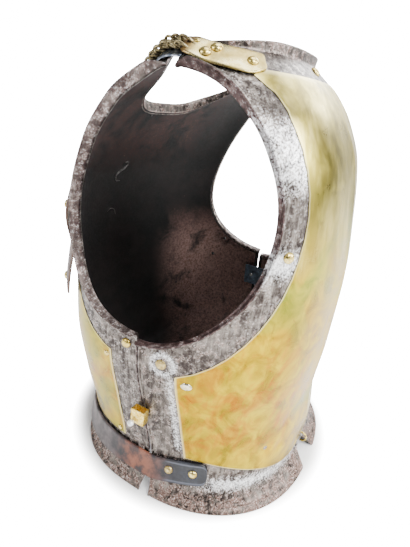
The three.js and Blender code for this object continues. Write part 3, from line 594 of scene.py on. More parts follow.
finish = {
    "steel": armourSteel(),
    "paint": insidePaint(),
    "brass": sheetBrass(),
    "fitting": plainMetal("cast brass fittings", ("#ab8f45", "#cfb766", "#e8d796"), 0.28),
    "dull": plainMetal("dull cast brass", ("#8a7748", "#ac9762", "#c9b886"), 0.42, 3),
    # the front facing rivet: pale brass coloured near white as a painted highlight
    "silvered": plainMetal("pale brass with a painted highlight", ("#b9ac84", "#d8cfae", "#efeadb"), 0.26),
    "yellow": plainMetal("new filed brass", ("#c9a030", "#e6c860", "#f6e8ae"), 0.38, 2.5),
    "palePlate": plainMetal("pale cast brass", ("#b39c53", "#cfbb76", "#e4d69f"), 0.3, 14),
    "wire": plainMetal("drawn brass wire", ("#4e4636", "#7b6f50", "#b5a985"), 0.34, 3, "#1c1812", 0.5),
    "tinned": plainMetal("tinned iron", ("#dcdcdc", "#f0f0f0", "#ffffff"), 0.3, 2, metal=0.35),
    "brightSteel": plainMetal("bright forged steel", ("#a5a5a6", "#cccccc", "#eeeeee"), 0.28, 4, "#37302c"),
    "tongue": plainMetal("blue-grey forged steel", ("#4d5460", "#858e9c", "#c2c9d4"), 0.32, 5,
                         "#20222a", 0.5),
    "blued": plainMetal("blue-grey oxidised steel", ("#55616f", "#748394", "#93a2b2"), 0.5, 7,
                        "#20232a", metal=0.3),
    "belt": hideLeather("blackened harness leather", ("#16171c", "#22242b", "#31343d"),
                        ("#5a3020", "#85503a"), ("#3f3a3b", "#6c6263"), 0.46),
    "strap": hideLeather("brown bridle leather", ("#33211a", "#4b3228", "#674a3b"),
                         ("#5c3f31", "#7d5d4a"), ("#5d4d46", "#84746b"), 0.5),
}
print("finishes ready")


domeShape = {"height": 0.62, "around": 36, "rings": 12}


# A domed head seated along a normal: radius sin(turn), height cos(turn), on a short straight skirt.
def domeRings(point, normal, radius, lift=0.0, squash=(1, 1), height=None):
    s = domeShape
    across = unit(np.cross([0, 0, 1], normal))
    up = np.cross(normal, across)
    height = radius * s["height"] if height is None else height
    turn = np.linspace(0.03, math.pi / 2, s["rings"])
    r = np.concatenate([[radius * 0.012], radius * np.sin(turn), [radius * 0.97, radius * 0.5]])[:, None]
    h = np.concatenate([[height], height * np.cos(turn), [-0.5, -0.6]])[:, None, None]
    a = circle(s["around"])
    x, y = r * np.cos(a) * squash[0], r * np.sin(a) * squash[1]
    rings = point + normal * (lift + h) + x[..., None] * across + y[..., None] * up
    return rings, masks(x.shape, alpha=smoothStep(-h[..., 0], -0.5, 0.3))


plateShape = {
    "columns": 84, "inset": 3.4, "filletRadius": 2.4, "stripReach": 9.0, "sunk": 0.45,
    "seamBand": 9.0, "seamBandRise": 0.7, "seamBandFoot": (8, 20), "seamBandTop": (168, 182),
    "neckReach": 8.0, "steep": (426, 442),
}


# The cut in the middle of the front rim: sloped sides, then a flat arch.
def notchHeight(x):
    away = np.abs(x)
    side = notch["shoulder"] - notch["slope"] * (away - notch["topHalf"])
    share = np.sqrt(np.clip(1 - away / notch["topHalf"], 0, 1))
    arch = notch["shoulder"] + (notch["top"] - notch["shoulder"]) * (1 - (1 - share) ** 2)
    return np.maximum(0, np.where(away < notch["topHalf"], arch, side))


# The turned lower edge: a bead of the rim's height, a groove, and a thinner bead over it.
def rimBead(height):
    half = rim["height"] / 2
    bead = rim["swell"] * np.sqrt(np.clip(1 - ((height - half) / (half + 0.2)) ** 2, 0, 1))
    thinner = rim["second"] * bell(height, rim["height"] + rim["secondAt"], rim["secondWidth"])
    return (bead + thinner) * (height < rim["reach"])


# Levels from the bottom to the top of an oval, closer together at both ends: minus the cosine.
def ovalLevels(middle, half, count):
    return middle - half * np.cos(math.pi * np.linspace(0, 1, count))


# Levels close together at the rim, round the ends of the armhole oval, and at the neck.
def plateLevels(side, inset):
    middle, half = holeSpan(side, inset)
    rimLevels = np.array([0, 0.25, 0.6, 1.1, 1.8, 2.6, 3.4, 4.1, 4.6, 5.0, 5.4, 6.0, 6.7, 7.3, 8.0, 8.8, 10])
    low = np.linspace(12, middle - half - 1, 74)
    high = np.linspace(middle + half + 1.5, neck["side"] - 2, 9)
    return np.concatenate([rimLevels, low, ovalLevels(middle, half, 88), high])


# Columns a little closer together towards the middle of the plate.
def plateShares(columns):
    t = np.linspace(0, 1, columns)
    return 0.35 * t + 0.65 * (1 - (1 - t) ** 1.25)


# Angle and height of every point of the right half: level lines pulled down to the neckline.
def plateGrid(side):
    levels = plateLevels(side, plateShape["inset"])
    shares = plateShares(plateShape["columns"])
    angle = angleAlong(side, levels, seamStart(side, levels, plateShape["inset"]), shares)
    share = shareAt(side, levels, seamStart(side, levels), angle)
    share = share - share[:, :1] * (1 - shares) ** 12      # no drop where it meets its turned edge
    level = levels[:, None] * np.ones_like(angle)
    return levels, angle + neckTurn(side, level, share), level - neckDrop(side, level, share)


# The surface point level with a step out along the edge's outward direction: the step gives y and z,
# the surface gives x, so a strip bends with the plate under it.
def followSide(side, path, outward, out):
    moved = path[:, None] + outward[:, None] * out[..., None]
    z = np.maximum(moved[..., 2], 0)
    away = np.clip(side * (moved[..., 1] - seam(z)), 0.3, None)
    on = bodyPoint(side, angleAway(side, z, away), z)
    steep = smoothStep(z, *plateShape["steep"])[..., None]      # x can't be read where it lies flat
    on = on * (1 - steep) + moved * steep
    flat = (out < -0.01)[..., None]
    return np.where(flat, on, moved * [1, 1, 0] + z[..., None] * [0, 0, 1])


# Carries a closed profile of (out, up) pairs: base point + up times the normal. Where lean is given,
# what rises over 4 mm leans that way instead of along the normal.
def raiseProfile(base, normal, profile, lean=None):
    up = profile[..., 1:2]
    direction = np.broadcast_to(normal[:, None], base.shape)
    if lean is not None:
        share = smoothStep(up, 0, 4)
        direction = direction * (1 - share) + lean[:, None] * share
    raised = base + direction * up
    raised[..., 2] = np.maximum(raised[..., 2], 0)
    return raised


# Section of a turned lip for each rise: along the plate, round the fillet, up the flange, over its
# half-round edge and back down the other face.
def lipProfile(rise, thickness, fillet, reach, sunk):
    rise = np.maximum(rise, thickness / 2 + 0.35)
    radius = np.clip(rise - thickness / 2 - 0.1, 0.15, fillet)[:, None]
    top = (rise - thickness / 2)[:, None]
    t = thickness
    quarter = np.linspace(0, math.pi / 2, 7)[None]
    tip = np.linspace(0, math.pi, 9)[None]
    zero = np.zeros_like(radius)

    def flat(s, n):
        return np.stack([zero + s, zero + n], -1)
    rows = [
        flat(-reach, -sunk), flat(-reach * 0.8, -sunk * 0.35), flat(-t - fillet - 1.2, 0.02),
        np.stack([-t - radius + radius * np.sin(quarter), radius - radius * np.cos(quarter)], -1),
        np.stack([-t / 2 - t / 2 * np.cos(tip) + 0 * top, top + t / 2 * np.sin(tip)], -1),
        np.stack([-t - radius + (radius + t) * np.cos(quarter), radius - (radius + t) * np.sin(quarter)], -1),
        flat(-t - fillet - 1.2, -t - 0.02), flat(-reach * 0.8, -t + sunk * 0.35), flat(-reach, -t + sunk)]
    return np.concatenate(rows, axis=1)


# Averages values along a path over width mm either side, nearer ones counting for more.
def smoothAlong(points, values, width):
    length = lengthAlong(points)
    weight = bell(length[:, None], length[None], width) * np.gradient(length)[None]
    return weight / weight.sum(1, keepdims=True) @ values


# A band's normals smoothed along its middle line.
def smoothNormals(point, normal, width):
    middle = point[:, point.shape[1] // 2]
    return unit(smoothAlong(middle, normal.reshape(len(normal), -1), width).reshape(normal.shape))


# The side edge from the rim up the seam, round the armhole and over the shoulder.
def edgePath(side):
    middle, half = holeSpan(side)
    bottom = armhole["bottom"][side]
    low = np.concatenate([np.linspace(0, 12, 12), np.linspace(14, bottom - 0.6, 80)])
    high = np.linspace(armhole["top"] + 0.6, neck["side"], 12)
    levels = np.concatenate([low, ovalLevels(middle, half, 150), high])
    point, normal = bodyPlace(side, seamStart(side, levels), levels)
    inward = bodyPlace(side, seamStart(side, levels, 3.0), levels)[0] - point
    tangent = np.gradient(point, axis=0)
    outward = unit(np.cross(normal, tangent))
    wrong = np.einsum("ij,ij->i", outward, inward) > 0
    outward = np.where(wrong[:, None], -outward, outward)
    outward = unit(smoothAlong(point, outward, 2.2))
    normal = unit(smoothAlong(point, normal, 1.5))
    onLip = ((levels >= bottom) & (levels <= armhole["top"])).astype(float)
    away = side * (point[:, 1] - seam(levels))
    onLip = onLip * np.where(levels > middle, 0.25 + 0.75 * smoothStep(away, 3, 18), 1)
    turned = seamGap["turnedEdge"] * (levels < bottom)
    rise = smoothAlong(point, np.maximum(onLip * armhole["lip"], turned), 1.6)
    return levels, point, normal, outward, rise


# Masks of the steel: rust at the rim and round the notch; a painted highlight high on the armhole border
# and round the border rivet; bare bright metal where a cuff or a cloth rubs: round the corner rivet,
# beside the brass and along the skirt.
def plateWear(side, points):
    x, z = points[..., 0], points[..., 2]
    forward = side * (points[..., 1] - seam(z))
    rust = 0.22 + 0.5 * (1 - smoothStep(z, 4, 30))
    if side == backSide:
        return rust - 0.12 * smoothStep(z, 60, 120), 0.14 + 0 * z
    rust = np.maximum(rust, 0.95 * bell(np.abs(x), 27, 11) * (1 - smoothStep(z, 40, 62)))
    rust = rust - 0.3 * smoothStep(z, 200, 300)
    bright = 0.1 + 0 * z
    for share, where in (
            # painted highlight: the band high on the armhole border
            (0.6, smoothStep(z, 328, 364) * (1 - smoothStep(z, 388, 418))),
            (0.75, bell(z, 28, 9) * smoothStep(forward, 20, 90)),
            (0.6, bell(forward, 34, 5) * smoothStep(z, 55, 70) * (1 - smoothStep(z, 150, 170))),
            (0.7, bell(np.hypot(forward - 26, z - 172), 11, 4)),
            # painted highlight: white streaks round the border rivet
            (0.85, bell(np.hypot(forward - 112, z - 287), 0, 15))):
        bright = np.maximum(bright, share * where)
    return rust, bright


# One plate: its shell of both halves, the turned edges up its sides, the lip round its neck.
def makePlate(side):
    s, t, isFront = plateShape, wall[side], side == frontSide
    levels, angle, level = plateGrid(side)
    cut = isFront * notchHeight(bodyPoint(side, angle, level)[..., 0])
    point, normal = bodyPlace(side, angle, level + cut * np.clip(1 - level / notch["fade"], 0, None) ** 1.15)
    lowest = (levels < rim["height"] + 5)[:, None, None]
    normal = np.where(lowest, unit(normal * [1, 1, 0]), normal)      # the rim stands upright
    fromSeam = np.linalg.norm(point - point[:, :1], axis=-1) + s["inset"]
    band = 1 - smoothStep(fromSeam, s["seamBand"] - 1, s["seamBand"])
    band = band * smoothStep(level, *s["seamBandFoot"]) * (1 - smoothStep(level, *s["seamBandTop"]))
    lift = rimBead(level) + isFront * s["seamBandRise"] * band
    rust, bright = plateWear(side, point)
    inner = bothHalves(point - normal * t)
    far, high = inner[..., 0], inner[..., 2]                         # worn paint and painted light on the far side, low down
    rubbed = np.maximum(smoothStep(far, 70, 125) * (1 - smoothStep(high, 215, 265)),
                        0.9 * smoothStep(high, 305, 365) * (1 - smoothStep(far, 60, 120)))
    wornThroughAndLit = smoothStep(far, 60, 160) * (1 - smoothStep(high, 180, 260))
    body = Body()
    body.addWall(bothHalves(point + normal * lift[..., None]), inner,
                 bothHalves(masks(rust.shape, rust, 0, bright), 1),
                 masks(far.shape, 0.06 + 0.9 * rubbed, 0, 0, wornThroughAndLit), (0, 1, 0))
    addTurnedEdges(side, body, t)
    addNeckLip(side, body, t)
    if not isFront:
        addInsideMarks(body)
    return body


# The turned edges of both sides: one profile carried along the edge path, with the rim's bead on it.
def addTurnedEdges(side, body, t):
    s = plateShape
    levels, path, normal, outward, rise = edgePath(side)
    profile = lipProfile(rise, t, s["filletRadius"], s["stripReach"], s["sunk"])
    out, up = profile[..., 0], profile[..., 1]
    base = followSide(side, path, outward, out)
    onFace = (out > -t / 2) & (up > -t)
    up += ((up > -t / 2) & (out < -t)) * rimBead(levels)[:, None]
    strip = raiseProfile(base, normal, profile)
    rust, bright = plateWear(side, strip)
    wear = masks(rust.shape, rust, onFace * (1.0 if side == frontSide else 0.5), bright)
    painted = up[0] < -t * 0.9
    slots = np.tile(painted & np.roll(painted, -1), len(strip) - 1)
    for turn in (1, -1):
        body.addTube(strip * [turn, 1, 1], slots, wear)


# Place on the plate's own lines drop mm under its top level, for each share of the way round.
def neckPlace(side, shares, drop):
    top = neck["side"] - drop
    level = np.full((1, len(shares)), top)
    angles = angleAlong(side, top, seamStart(side, top), shares)
    at = angles + neckTurn(side, level, shares[None])
    return tuple(v[0] for v in bodyPlace(side, at, level - neckDrop(side, level, shares[None])))


# The lip round the neck: a flange from the top row, leaning out, tall in the middle. Its flat part
# is the curve through three rows of the plate.
def addNeckLip(side, body, t):
    s = plateShape
    shares = np.linspace(0, 1, 70)
    (point, normal), (second, _), (third, _) = (neckPlace(side, shares, d) for d in (0, 3, 7))
    near, far = lengthAlong(np.stack([point, second, third], 1))[:, 1:].T[..., None]
    lean = unit(normal * neck["outward"][side] + np.array([0, 0, neck["upward"][side]]))
    rise = 1.5 + (neck["lip"][side] - 1.5) * smoothStep(shares, 0, 0.6)
    profile = lipProfile(rise, t, s["filletRadius"], s["neckReach"], s["sunk"])
    d = -profile[..., 0]
    weights = ((d - near) * (d - far) / (near * far), d * (d - far) / (near * (near - far)),
               d * (d - near) / (far * (far - near)))
    base = sum(w[..., None] * v[:, None] for w, v in zip(weights, (point, second, third)))
    half = raiseProfile(base, normal, profile, lean)
    rings = np.concatenate([half, mirrored(half)[-2::-1]])
    body.addTube(rings, 0, masks(rings.shape[:2], 0.4, 0, 0.12))


insideMarks = {
    "tear": [(-15, 324), (-9, 327), (-6, 322), (-12, 317), (-20, 314), (-27, 309), (-24, 302), (-15, 301)],
    "scratch": [(-35, 262), (-27, 266), (-19, 263), (-15, 254)],
    "hole": (-14, 322.5, 3.4), "ends": [(-22, 386, 2.0), (151, 205, 2.2), (146, 176, 2.2)],
}


# A place on the inner face of the back plate at a given distance from the middle and height.
def insideBack(x, z):
    x, z = np.asarray(x, float), np.asarray(z, float)
    cosine = np.minimum(0.999, np.abs(x) / halfWidth(z))
    point, normal = bodyPlace(backSide, np.arccos(cosine ** (fullness[backSide][0] / 2)), z)
    turned = np.where(x > 0, -1, 1)[..., None] * [1, 0, 0] + np.array([0, 1, 1])
    return point * turned - normal * turned * wall[backSide], -normal * turned


# A torn edge, a scratch, the shade of a hole painted as a dark low dome, and the ends of rivets on the
# inner face: a thin rope of metal along a smooth line, and low domes.
def addInsideMarks(body):
    around = circle(10)[None, :, None]
    for name, radius, bare in (("tear", 1.5, 0.3), ("scratch", 0.6, 0.4)):
        rows = np.array(insideMarks[name], float)
        steps = lengthAlong(rows)
        along = np.linspace(0, steps[-1], 60)
        line = np.column_stack([np.interp(along, steps, rows[:, k]) for k in (0, 1)])
        line = smoothAlong(np.column_stack([line, along * 0]), line, 2.2)
        centre, normal = insideBack(line[:, 0], line[:, 1])
        across = np.cross(normal, unit(np.gradient(centre, axis=0)))
        thick = radius * np.sqrt(np.clip(np.sin(math.pi * along / along[-1]), 0.05, 1))[:, None, None]
        turned = np.cos(around) * across[:, None] + np.sin(around) * normal[:, None]
        body.addTube(centre[:, None] + thick * turned, 1, masks(turned.shape[:2], blue=bare))
    x, z, radius = insideMarks["hole"]
    # the hole: a flat dark dome of painted shade
    spots = [(x, z, radius, 0.3, 1, 0)] + [(x, z, r, r * 0.5, 0, 0.2) for x, z, r in insideMarks["ends"]]
    for x, z, radius, height, holeShade, bare in spots:
        rings = domeRings(*insideBack(x, z), radius, height=height)[0]
        body.addTube(rings, 1, masks(rings.shape[:2], green=holeShade, blue=bare))


place(makePlate(frontSide), "breastplate", "front_plate", ["steel", "paint"], 50)
place(makePlate(backSide), "backplate", "back_plate", ["steel", "paint"], 50)
print("steel plates made")


facingShape = {
    "lift": 0.15, "thickness": 0.8, "armholeBorder": 28, "borderSpread": 10, "cornerHeight": 154,
    "neckBorder": 17, "columns": 76,
    "bottom": {frontSide: 56, backSide: 50}, "margin": {frontSide: 40.5, backSide: 36},
    "sag": {frontSide: 29, backSide: 0}, "shoulder": {frontSide: 45, backSide: 34},
    "most": {frontSide: 0.95, backSide: 0.75},
}


# The armhole edge moved over the surface, away from the hole, by the width of the border.
def borderLine(side):
    s = facingShape
    middle, half = holeSpan(side)
    count = 24
    i = np.arange(count + 1)
    z = middle - half * np.cos(0.05 + (math.pi - 0.1) * i / count)
    point, normal = bodyPlace(side, angleAway(side, z, armholeReach(side, z)), z)
    before, after = point[np.maximum(0, i - 1)], point[np.minimum(count, i + 1)]
    across = unit(np.cross(normal, after - before))
    wrong = (across[:, 1] * side < 0) & (i > 0) & (i < count)
    across = np.where(wrong[:, None], -across, across)
    across[0] = [0, 0, -1]
    across[-1] = [0.8, 0, 0.6]
    width = s["armholeBorder"] + s["borderSpread"] * (1 - smoothStep(i / count, 0, 0.5))
    moved = point + across * width[:, None]
    away = np.abs(moved[:, 1] - seam(moved[:, 2]))
    order = np.argsort(moved[:, 2])
    return moved[order, 2], away[order]


# How far from the seam the brass begins: the armhole border's line, a margin below it, and the
# shoulder's width above it.
def facingStart(side, level):
    s = facingShape
    borderZ, borderAway = borderLine(side)
    curve = np.interp(level, borderZ, borderAway)
    inside = (level > borderZ[0]) & (level < borderZ[-1])
    away = np.where(inside, np.maximum(s["margin"][side], curve), s["margin"][side])
    shoulder = s["shoulder"][side] * smoothStep(level, armhole["top"] - 60, armhole["top"] - 5)
    away = np.where(level > armhole["top"] - 25, np.maximum(away, shoulder), away)
    return np.minimum(away, s["most"][side] * depth(side, level))


dents = {   # x from the middle, height, radius, depth
    frontSide: [(-88, 68, 7, 1.1), (-70, 62, 6, 0.9), (-62, 88, 8, 0.8), (-104, 120, 12, 0.6),
                (70, 150, 14, 0.8), (40, 240, 18, 0.6), (-60, 205, 20, 0.7), (95, 90, 9, 0.9)],
    backSide: [(-60, 200, 18, 0.8), (30, 300, 16, 0.7), (80, 130, 12, 0.9), (-20, 90, 14, 0.8)],
}


# Shallow round knocks: each a bell of its depth over its radius.
def dentDepth(side, point):
    return sum(deep * bell(np.hypot(point[..., 0] - x, point[..., 2] - z), 0, radius)
               for x, z, radius, deep in dents[side])


# Masks of the brass: orange and green low down, a pale painted sheen high up, a painted highlight along the
# edge.
def facingWear(side, point, edge):
    x, z = point[..., 0], point[..., 2]
    pale = smoothStep(z, 220, 350)
    orange = (1 - smoothStep(z, 170, 250)) * smoothStep(z, 40, 90) * (0.1 + 0.75 * smoothStep(-x, -10, 90))
    green = np.maximum((1 - smoothStep(z, 130, 280)) * (0.2 + 0.6 * smoothStep(x, -100, 10)),
                       0.85 * bell(z, 275, 65))
    if side == backSide:
        pale, orange, green = pale * 0.7 + 0.25, orange * 0.6, 0.6
    return masks(z.shape, orange, green, pale, edge)


# The brass sheet of one plate, its grid laid on the plate's surface and hammered down at the edge.
def makeFacing(side):
    s = facingShape
    top, corner = neck["side"] - s["neckBorder"], s["cornerHeight"]
    levels = np.concatenate([np.linspace(s["bottom"][side], corner - 0.8, 52),
                             corner + (top - corner) * np.linspace(0, 1, 104) ** 1.5])
    t = np.linspace(0, 1, s["columns"])
    shares = 0.7 * t + 0.3 * (1 - (1 - t) ** 1.5)
    angle = angleAlong(side, levels, angleAway(side, levels, facingStart(side, levels)), shares)
    level = levels[:, None] * np.ones_like(angle)
    hang = (s["sag"][side] * (1 - smoothStep(level, s["bottom"][side], s["bottom"][side] + 90))
            * smoothStep(shares, 0, 0.9)[None])
    share = shareAt(side, levels, seamStart(side, levels), angle)
    point, normal = bodyPlace(side, angle + neckTurn(side, level, share),
                              level - neckDrop(side, level, share) - hang)
    edges = (point[:, :1], point[:1], point[-1:])
    nearest = np.min([np.linalg.norm(point - edge, axis=-1) for edge in edges], axis=0)
    rolled = 0.35 * (1 - smoothStep(nearest, 0, 1.6))
    low = s["lift"] - dentDepth(side, point)
    # painted highlight along the sheet's edge
    wear = facingWear(side, point, 1 - smoothStep(nearest, 0, 1.2))
    heights = (bothHalves(rise, 1) for rise in (low, low + s["thickness"] - rolled))
    return raisedWall(bothHalves(point), bothHalves(normal), *heights, bothHalves(wear, 1))


place(makeFacing(frontSide), "brass sheet of the breastplate", "front_facing", ["brass"], 50)
place(makeFacing(backSide), "brass sheet of the backplate", "back_facing", ["brass"], 50)
print("sheet brass made")


beltShape = {
    "halfWidth": 14, "lift": 0.6, "thickness": 2.4, "frontEnd": 64, "roundEnd": 9,
    "line": [(-300, 33), (-40, 31), (-5, 31), (32, 37), (80, 43)],
}
beltHeight = smoothTable(*np.array(beltShape["line"]).T)


# Across a strip from -1 to 1: how high its face stands, rounded down at both edges.
def bandSection(count, thickness, softness):
    across = np.sin(np.linspace(-math.pi / 2, math.pi / 2, count))
    near = np.clip((1 - np.abs(across)) / softness, 0, 1)
    return across, thickness * (0.35 + 0.65 * np.sqrt(1 - (1 - near) ** 2))


# The belt: round the back along the plate, then forward of the seam to a rounded end, both sides.
def makeBelt():
    s = beltShape
    across, thick = bandSection(25, s["thickness"], 0.16)
    turn = np.linspace(math.pi / 2, 0.004, 150)
    behind = -depth(backSide, 40) * np.sin(turn)
    t = np.linspace(0, 1, 90)
    ahead = 1 + (s["frontEnd"] - 1) * (1 - (1 - t) ** 1.4)
    narrow = roundedEnd(s["frontEnd"] - ahead, s["roundEnd"], 3.2, 0.02, 1 / 3.2)
    rise = across[None] * s["halfWidth"]
    frontRise = rise * narrow[:, None]
    backPlace = bodyPlace(backSide, turn[:, None] + 0 * rise, beltHeight(behind)[:, None] + rise)
    frontPlace = placeAway(beltHeight(ahead)[:, None] + frontRise, ahead[:, None] + 0 * frontRise)
    point, normal = (np.concatenate(both) for both in zip(backPlace, frontPlace))
    normal = smoothNormals(point, normal, 5)
    along = np.concatenate([behind, ahead])[:, None]
    slack = 0.6 * bell(along, 8, 14)                         # it bridges the seam without dipping
    low = s["lift"] + rim["swell"] * 0.4 + slack
    # a pressed groove near each edge, coloured light blue-grey as a painted highlight
    line = bell(np.abs(across), 0.82, 0.045) * smoothStep(along, 18, 26)
    outer = point + normal * (low + thick - 0.35 * line)[..., None]
    inner = point + normal * low[..., None]
    wear = masks(line.shape, bell(along, -6, 19), (1 - smoothStep(along, -46, -16)) * 0.95, line * 0.8)

    def whole(rows, turn=(-1, 1, 1)):
        return np.concatenate([rows[::-1], rows[1:] * np.array(turn)])
    return Body().addWall(whole(outer), whole(inner), whole(wear, 1))


place(makeBelt(), "waist belt", "waist_belt", ["belt"], 60)

strapX = smoothTable([150, 250, 300, 350, 400, 430, 460], [118, 118, 113, 103, 98, 105, 113])
strapShape = {
    "halfWidth": 14, "lift": 0.5, "overFacing": 1.0, "facingFrom": 36, "facingTo": 66, "thickness": 2.4,
    "start": 24, "fineFrom": 280, "end": 302, "roundEnd": 20, "shift": 0,
}
strapBow = smoothTable([24, 150, 178, 203, 236, 262, 282, 302], [0, 0.4, 4.4, 7.6, 3.4, 6.6, 8.6, 8.2])
tongueShape = {"halfWidth": 9, "shift": 5, "lift": 1.9, "thickness": 1.3, "start": -8, "end": 27,
               "roundEnd": 5}


# Traces the line over the shoulder at a distance from the middle. Returns a function from lengths (back
# of the seam positive) to points and normals.
def overShoulder(shift, lift=0.0):
    low, top = armhole["top"] - 60.0, neck["side"] + 10.0
    for _ in range(40):
        middle = (low + top) / 2
        if halfWidth(middle) > strapX(middle) + shift:
            low = middle
        else:
            top = middle
    z = low - 290 * (np.arange(901) / 900) ** 2
    cosine = np.minimum(1, (strapX(z) + shift) / halfWidth(z))
    lines = {}
    for side in (frontSide, backSide):
        point, normal = bodyPlace(side, np.arccos(cosine ** (fullness[side][0] / 2)), z)
        lines[side] = (lengthAlong(point + normal * lift), np.concatenate([point, normal], axis=1))
    join = (lines[frontSide][1][0] + lines[backSide][1][0]) / 2
    length = np.concatenate([-lines[frontSide][0][:0:-1], lines[backSide][0]])
    rows = np.concatenate([lines[frontSide][1][:0:-1], [join], lines[backSide][1][1:]])

    def at(wanted):
        wanted = np.asarray(wanted, float)
        found = np.stack([np.interp(wanted, length, rows[:, k]) for k in range(6)], -1)
        return found[..., :3], unit(found[..., 3:])
    return at


# The strap climbs from the steel on to the brass.
def overFacing(length):
    s = strapShape
    return s["overFacing"] * smoothStep(length, s["facingFrom"], s["facingTo"])


# Close to the plate, then bowed off it between the studs and at the free end.
def strapLift(length):
    return strapShape["lift"] + overFacing(length) + strapBow(length)


# A strip over the shoulder: for each column its own line, for each row its own length.
def shoulderBand(s, lengths, lift, narrow, wear, count=17):
    across, thick = bandSection(count, s["thickness"], 0.2)
    middle = overShoulder(s["shift"])(lengths)
    columns = [overShoulder(s["shift"] + share * s["halfWidth"])(lengths) for share in across]
    point, normal = (np.stack([centre + (column[k] - centre) * narrow[:, None] for column in columns], 1)
                     for k, centre in enumerate(middle))
    low = (lift + 0 * lengths)[:, None]
    return raisedWall(point, smoothNormals(point, unit(normal), 3), low, low + thick, wear)


# The leather strap down the back, one end free: painted highlight lines near its edges, scuffed lower down.
def makeStrap():
    s = strapShape
    lengths = np.concatenate([np.linspace(s["start"], s["fineFrom"], 135),
                              np.linspace(s["fineFrom"] + 1.5, s["end"], 26)])
    narrow = roundedEnd(s["end"] - lengths, s["roundEnd"], 2.2, 0.05)
    across = bandSection(17, 1, 0.2)[0]
    scuffed = (0.35 * smoothStep(lengths, 60, 150))[:, None]
    wear = masks((len(lengths), 17), 0.6, scuffed, 0.12 * bell(np.abs(across), 0.8, 0.05))
    return shoulderBand(s, lengths, strapLift(lengths), narrow, wear)


# The light steel tongue under the chains, both ends rounded.
def makeTongue():
    s = tongueShape
    lengths = np.linspace(s["start"], s["end"], 30)
    fromEnd = np.minimum(lengths - s["start"], s["end"] - lengths)
    narrow = roundedEnd(fromEnd, s["roundEnd"], 2.4, 0.15, 0.5)
    return shoulderBand(s, lengths, s["lift"], narrow, None, 11)


# The same parts on the wearer's left: x changes sign and each face is turned round.
def mirroredBody(body):
    other = Body()
    other.points = [mirrored(points) for points in body.points]
    other.faces = [faces[:, ::-1] for faces in body.faces]
    other.caps = [cap[::-1] for cap in body.caps]
    other.slots, other.wear, other.count = body.slots, body.wear, body.count
    return other


# The wearer's right as made, and its mirror image on the left.
def placePair(body, node, look, sharp=40, name=None):
    name = name or node.replace("_", " ")
    for side, part in (("right", body), ("left", mirroredBody(body))):
        place(part, f"{name} {side}", f"{node}_{side}", [look], sharp)


placePair(makeStrap(), "shoulder_strap", "strap", 60)
placePair(makeTongue(), "shoulder_tongue", "tongue", 60)
print("belt and straps made")


# A domed head as a piece of its own; the seat is what domeRings takes.
def makeDome(*seat):
    rings, wear = domeRings(*seat)
    return Body().addTube(rings, 0, wear)


facingTop = facingShape["lift"] + facingShape["thickness"]
beltTop = beltShape["lift"] + rim["swell"] * 0.4 + beltShape["thickness"]
endPlateShape = {
    "lift": 1.3, "raised": 5.2, "raisedTo": 8, "flatFrom": 32, "thickness": 1.6, "roundEnd": 7,
    "holes": [(9.5, 444.5), (5.5, 440.5)], "holeRadius": 2.3,
    "edges": [(3, 437.5, 449.5), (12, 436, 450), (24, 434.5, 450), (36, 433, 449),
              (50, 431, 447.5), (60, 430, 446), (68, 432, 438)],   # forward of the seam, lower, upper
}


# The end plate stands off at the chains and comes down to the plate towards the front.
def endPlateHeight(away):
    s = endPlateShape
    return s["raised"] + (s["lift"] - s["raised"]) * smoothStep(away, s["raisedTo"], s["flatFrom"])


# The height of the end plate's face.
def onEndPlate(away):
    return endPlateHeight(away) + endPlateShape["thickness"]


rivets = [   # node, finish, forward of the seam, height, radius, lift, then squash and the dome's height
    ("front_border", "fitting", 118, 293, 5.3, 0), ("front_corner", "dull", 26, 172, 5.6, 0, (1, 1), 1.7),
    ("back_corner", "fitting", -16, 181, 5.3, 0),
    ("front_facing", "silvered", 52, 155, 5, facingTop, (1.18, 0.86), 1.6),
    ("back_facing_top", "fitting", -42, 158, 3.2, facingTop),
    ("back_facing_low", "fitting", -43, 56, 3.2, facingTop),
    ("belt_rear", "dull", 24.5, 37, 4.8, beltTop + 0.2), ("belt_front", "fitting", 50, 40, 4.8, beltTop),
    ("shoulder_low", "fitting", 24.5, 440, 5.3, onEndPlate(24.5)),
    ("shoulder_high", "fitting", 30, 445, 5.3, onEndPlate(30)),
    ("shoulder_front", "fitting", 58.5, 438, 4.8, onEndPlate(58)),
    ("shoulder_small", "fitting", 14, 446, 2.4, onEndPlate(14)),
]
for node, look, away, z, *seat in rivets:
    placePair(makeDome(*placeAway(z, away), *seat), "rivet_" + node, look)
throat = bodyPlace(frontSide, math.pi / 2, 443.5)
place(makeDome(*throat, 5.3, 0.1), "rivet neck", "rivet_neck", ["fitting"])
studs = (("stud_strap_high", 204, 5), ("stud_strap_low", 284, 5), ("stud_chain_end", 96, 5.3))
for node, length, radius in studs:
    lift = float(strapLift(length)) + strapShape["thickness"] - 0.2
    placePair(makeDome(*overShoulder(0.0)(length), radius, lift), node, "fitting")
print("rivets and studs made")


chainShape = {
    "rows": (-4.6, 4.6), "first": -8.0, "pitch": 7.0, "links": 13, "length": 20.0, "width": 8.6,
    "wire": 2.6, "height": 5.8, "twist": 84, "yaw": 30, "lean": 34, "around": 12, "steps": 48,
}
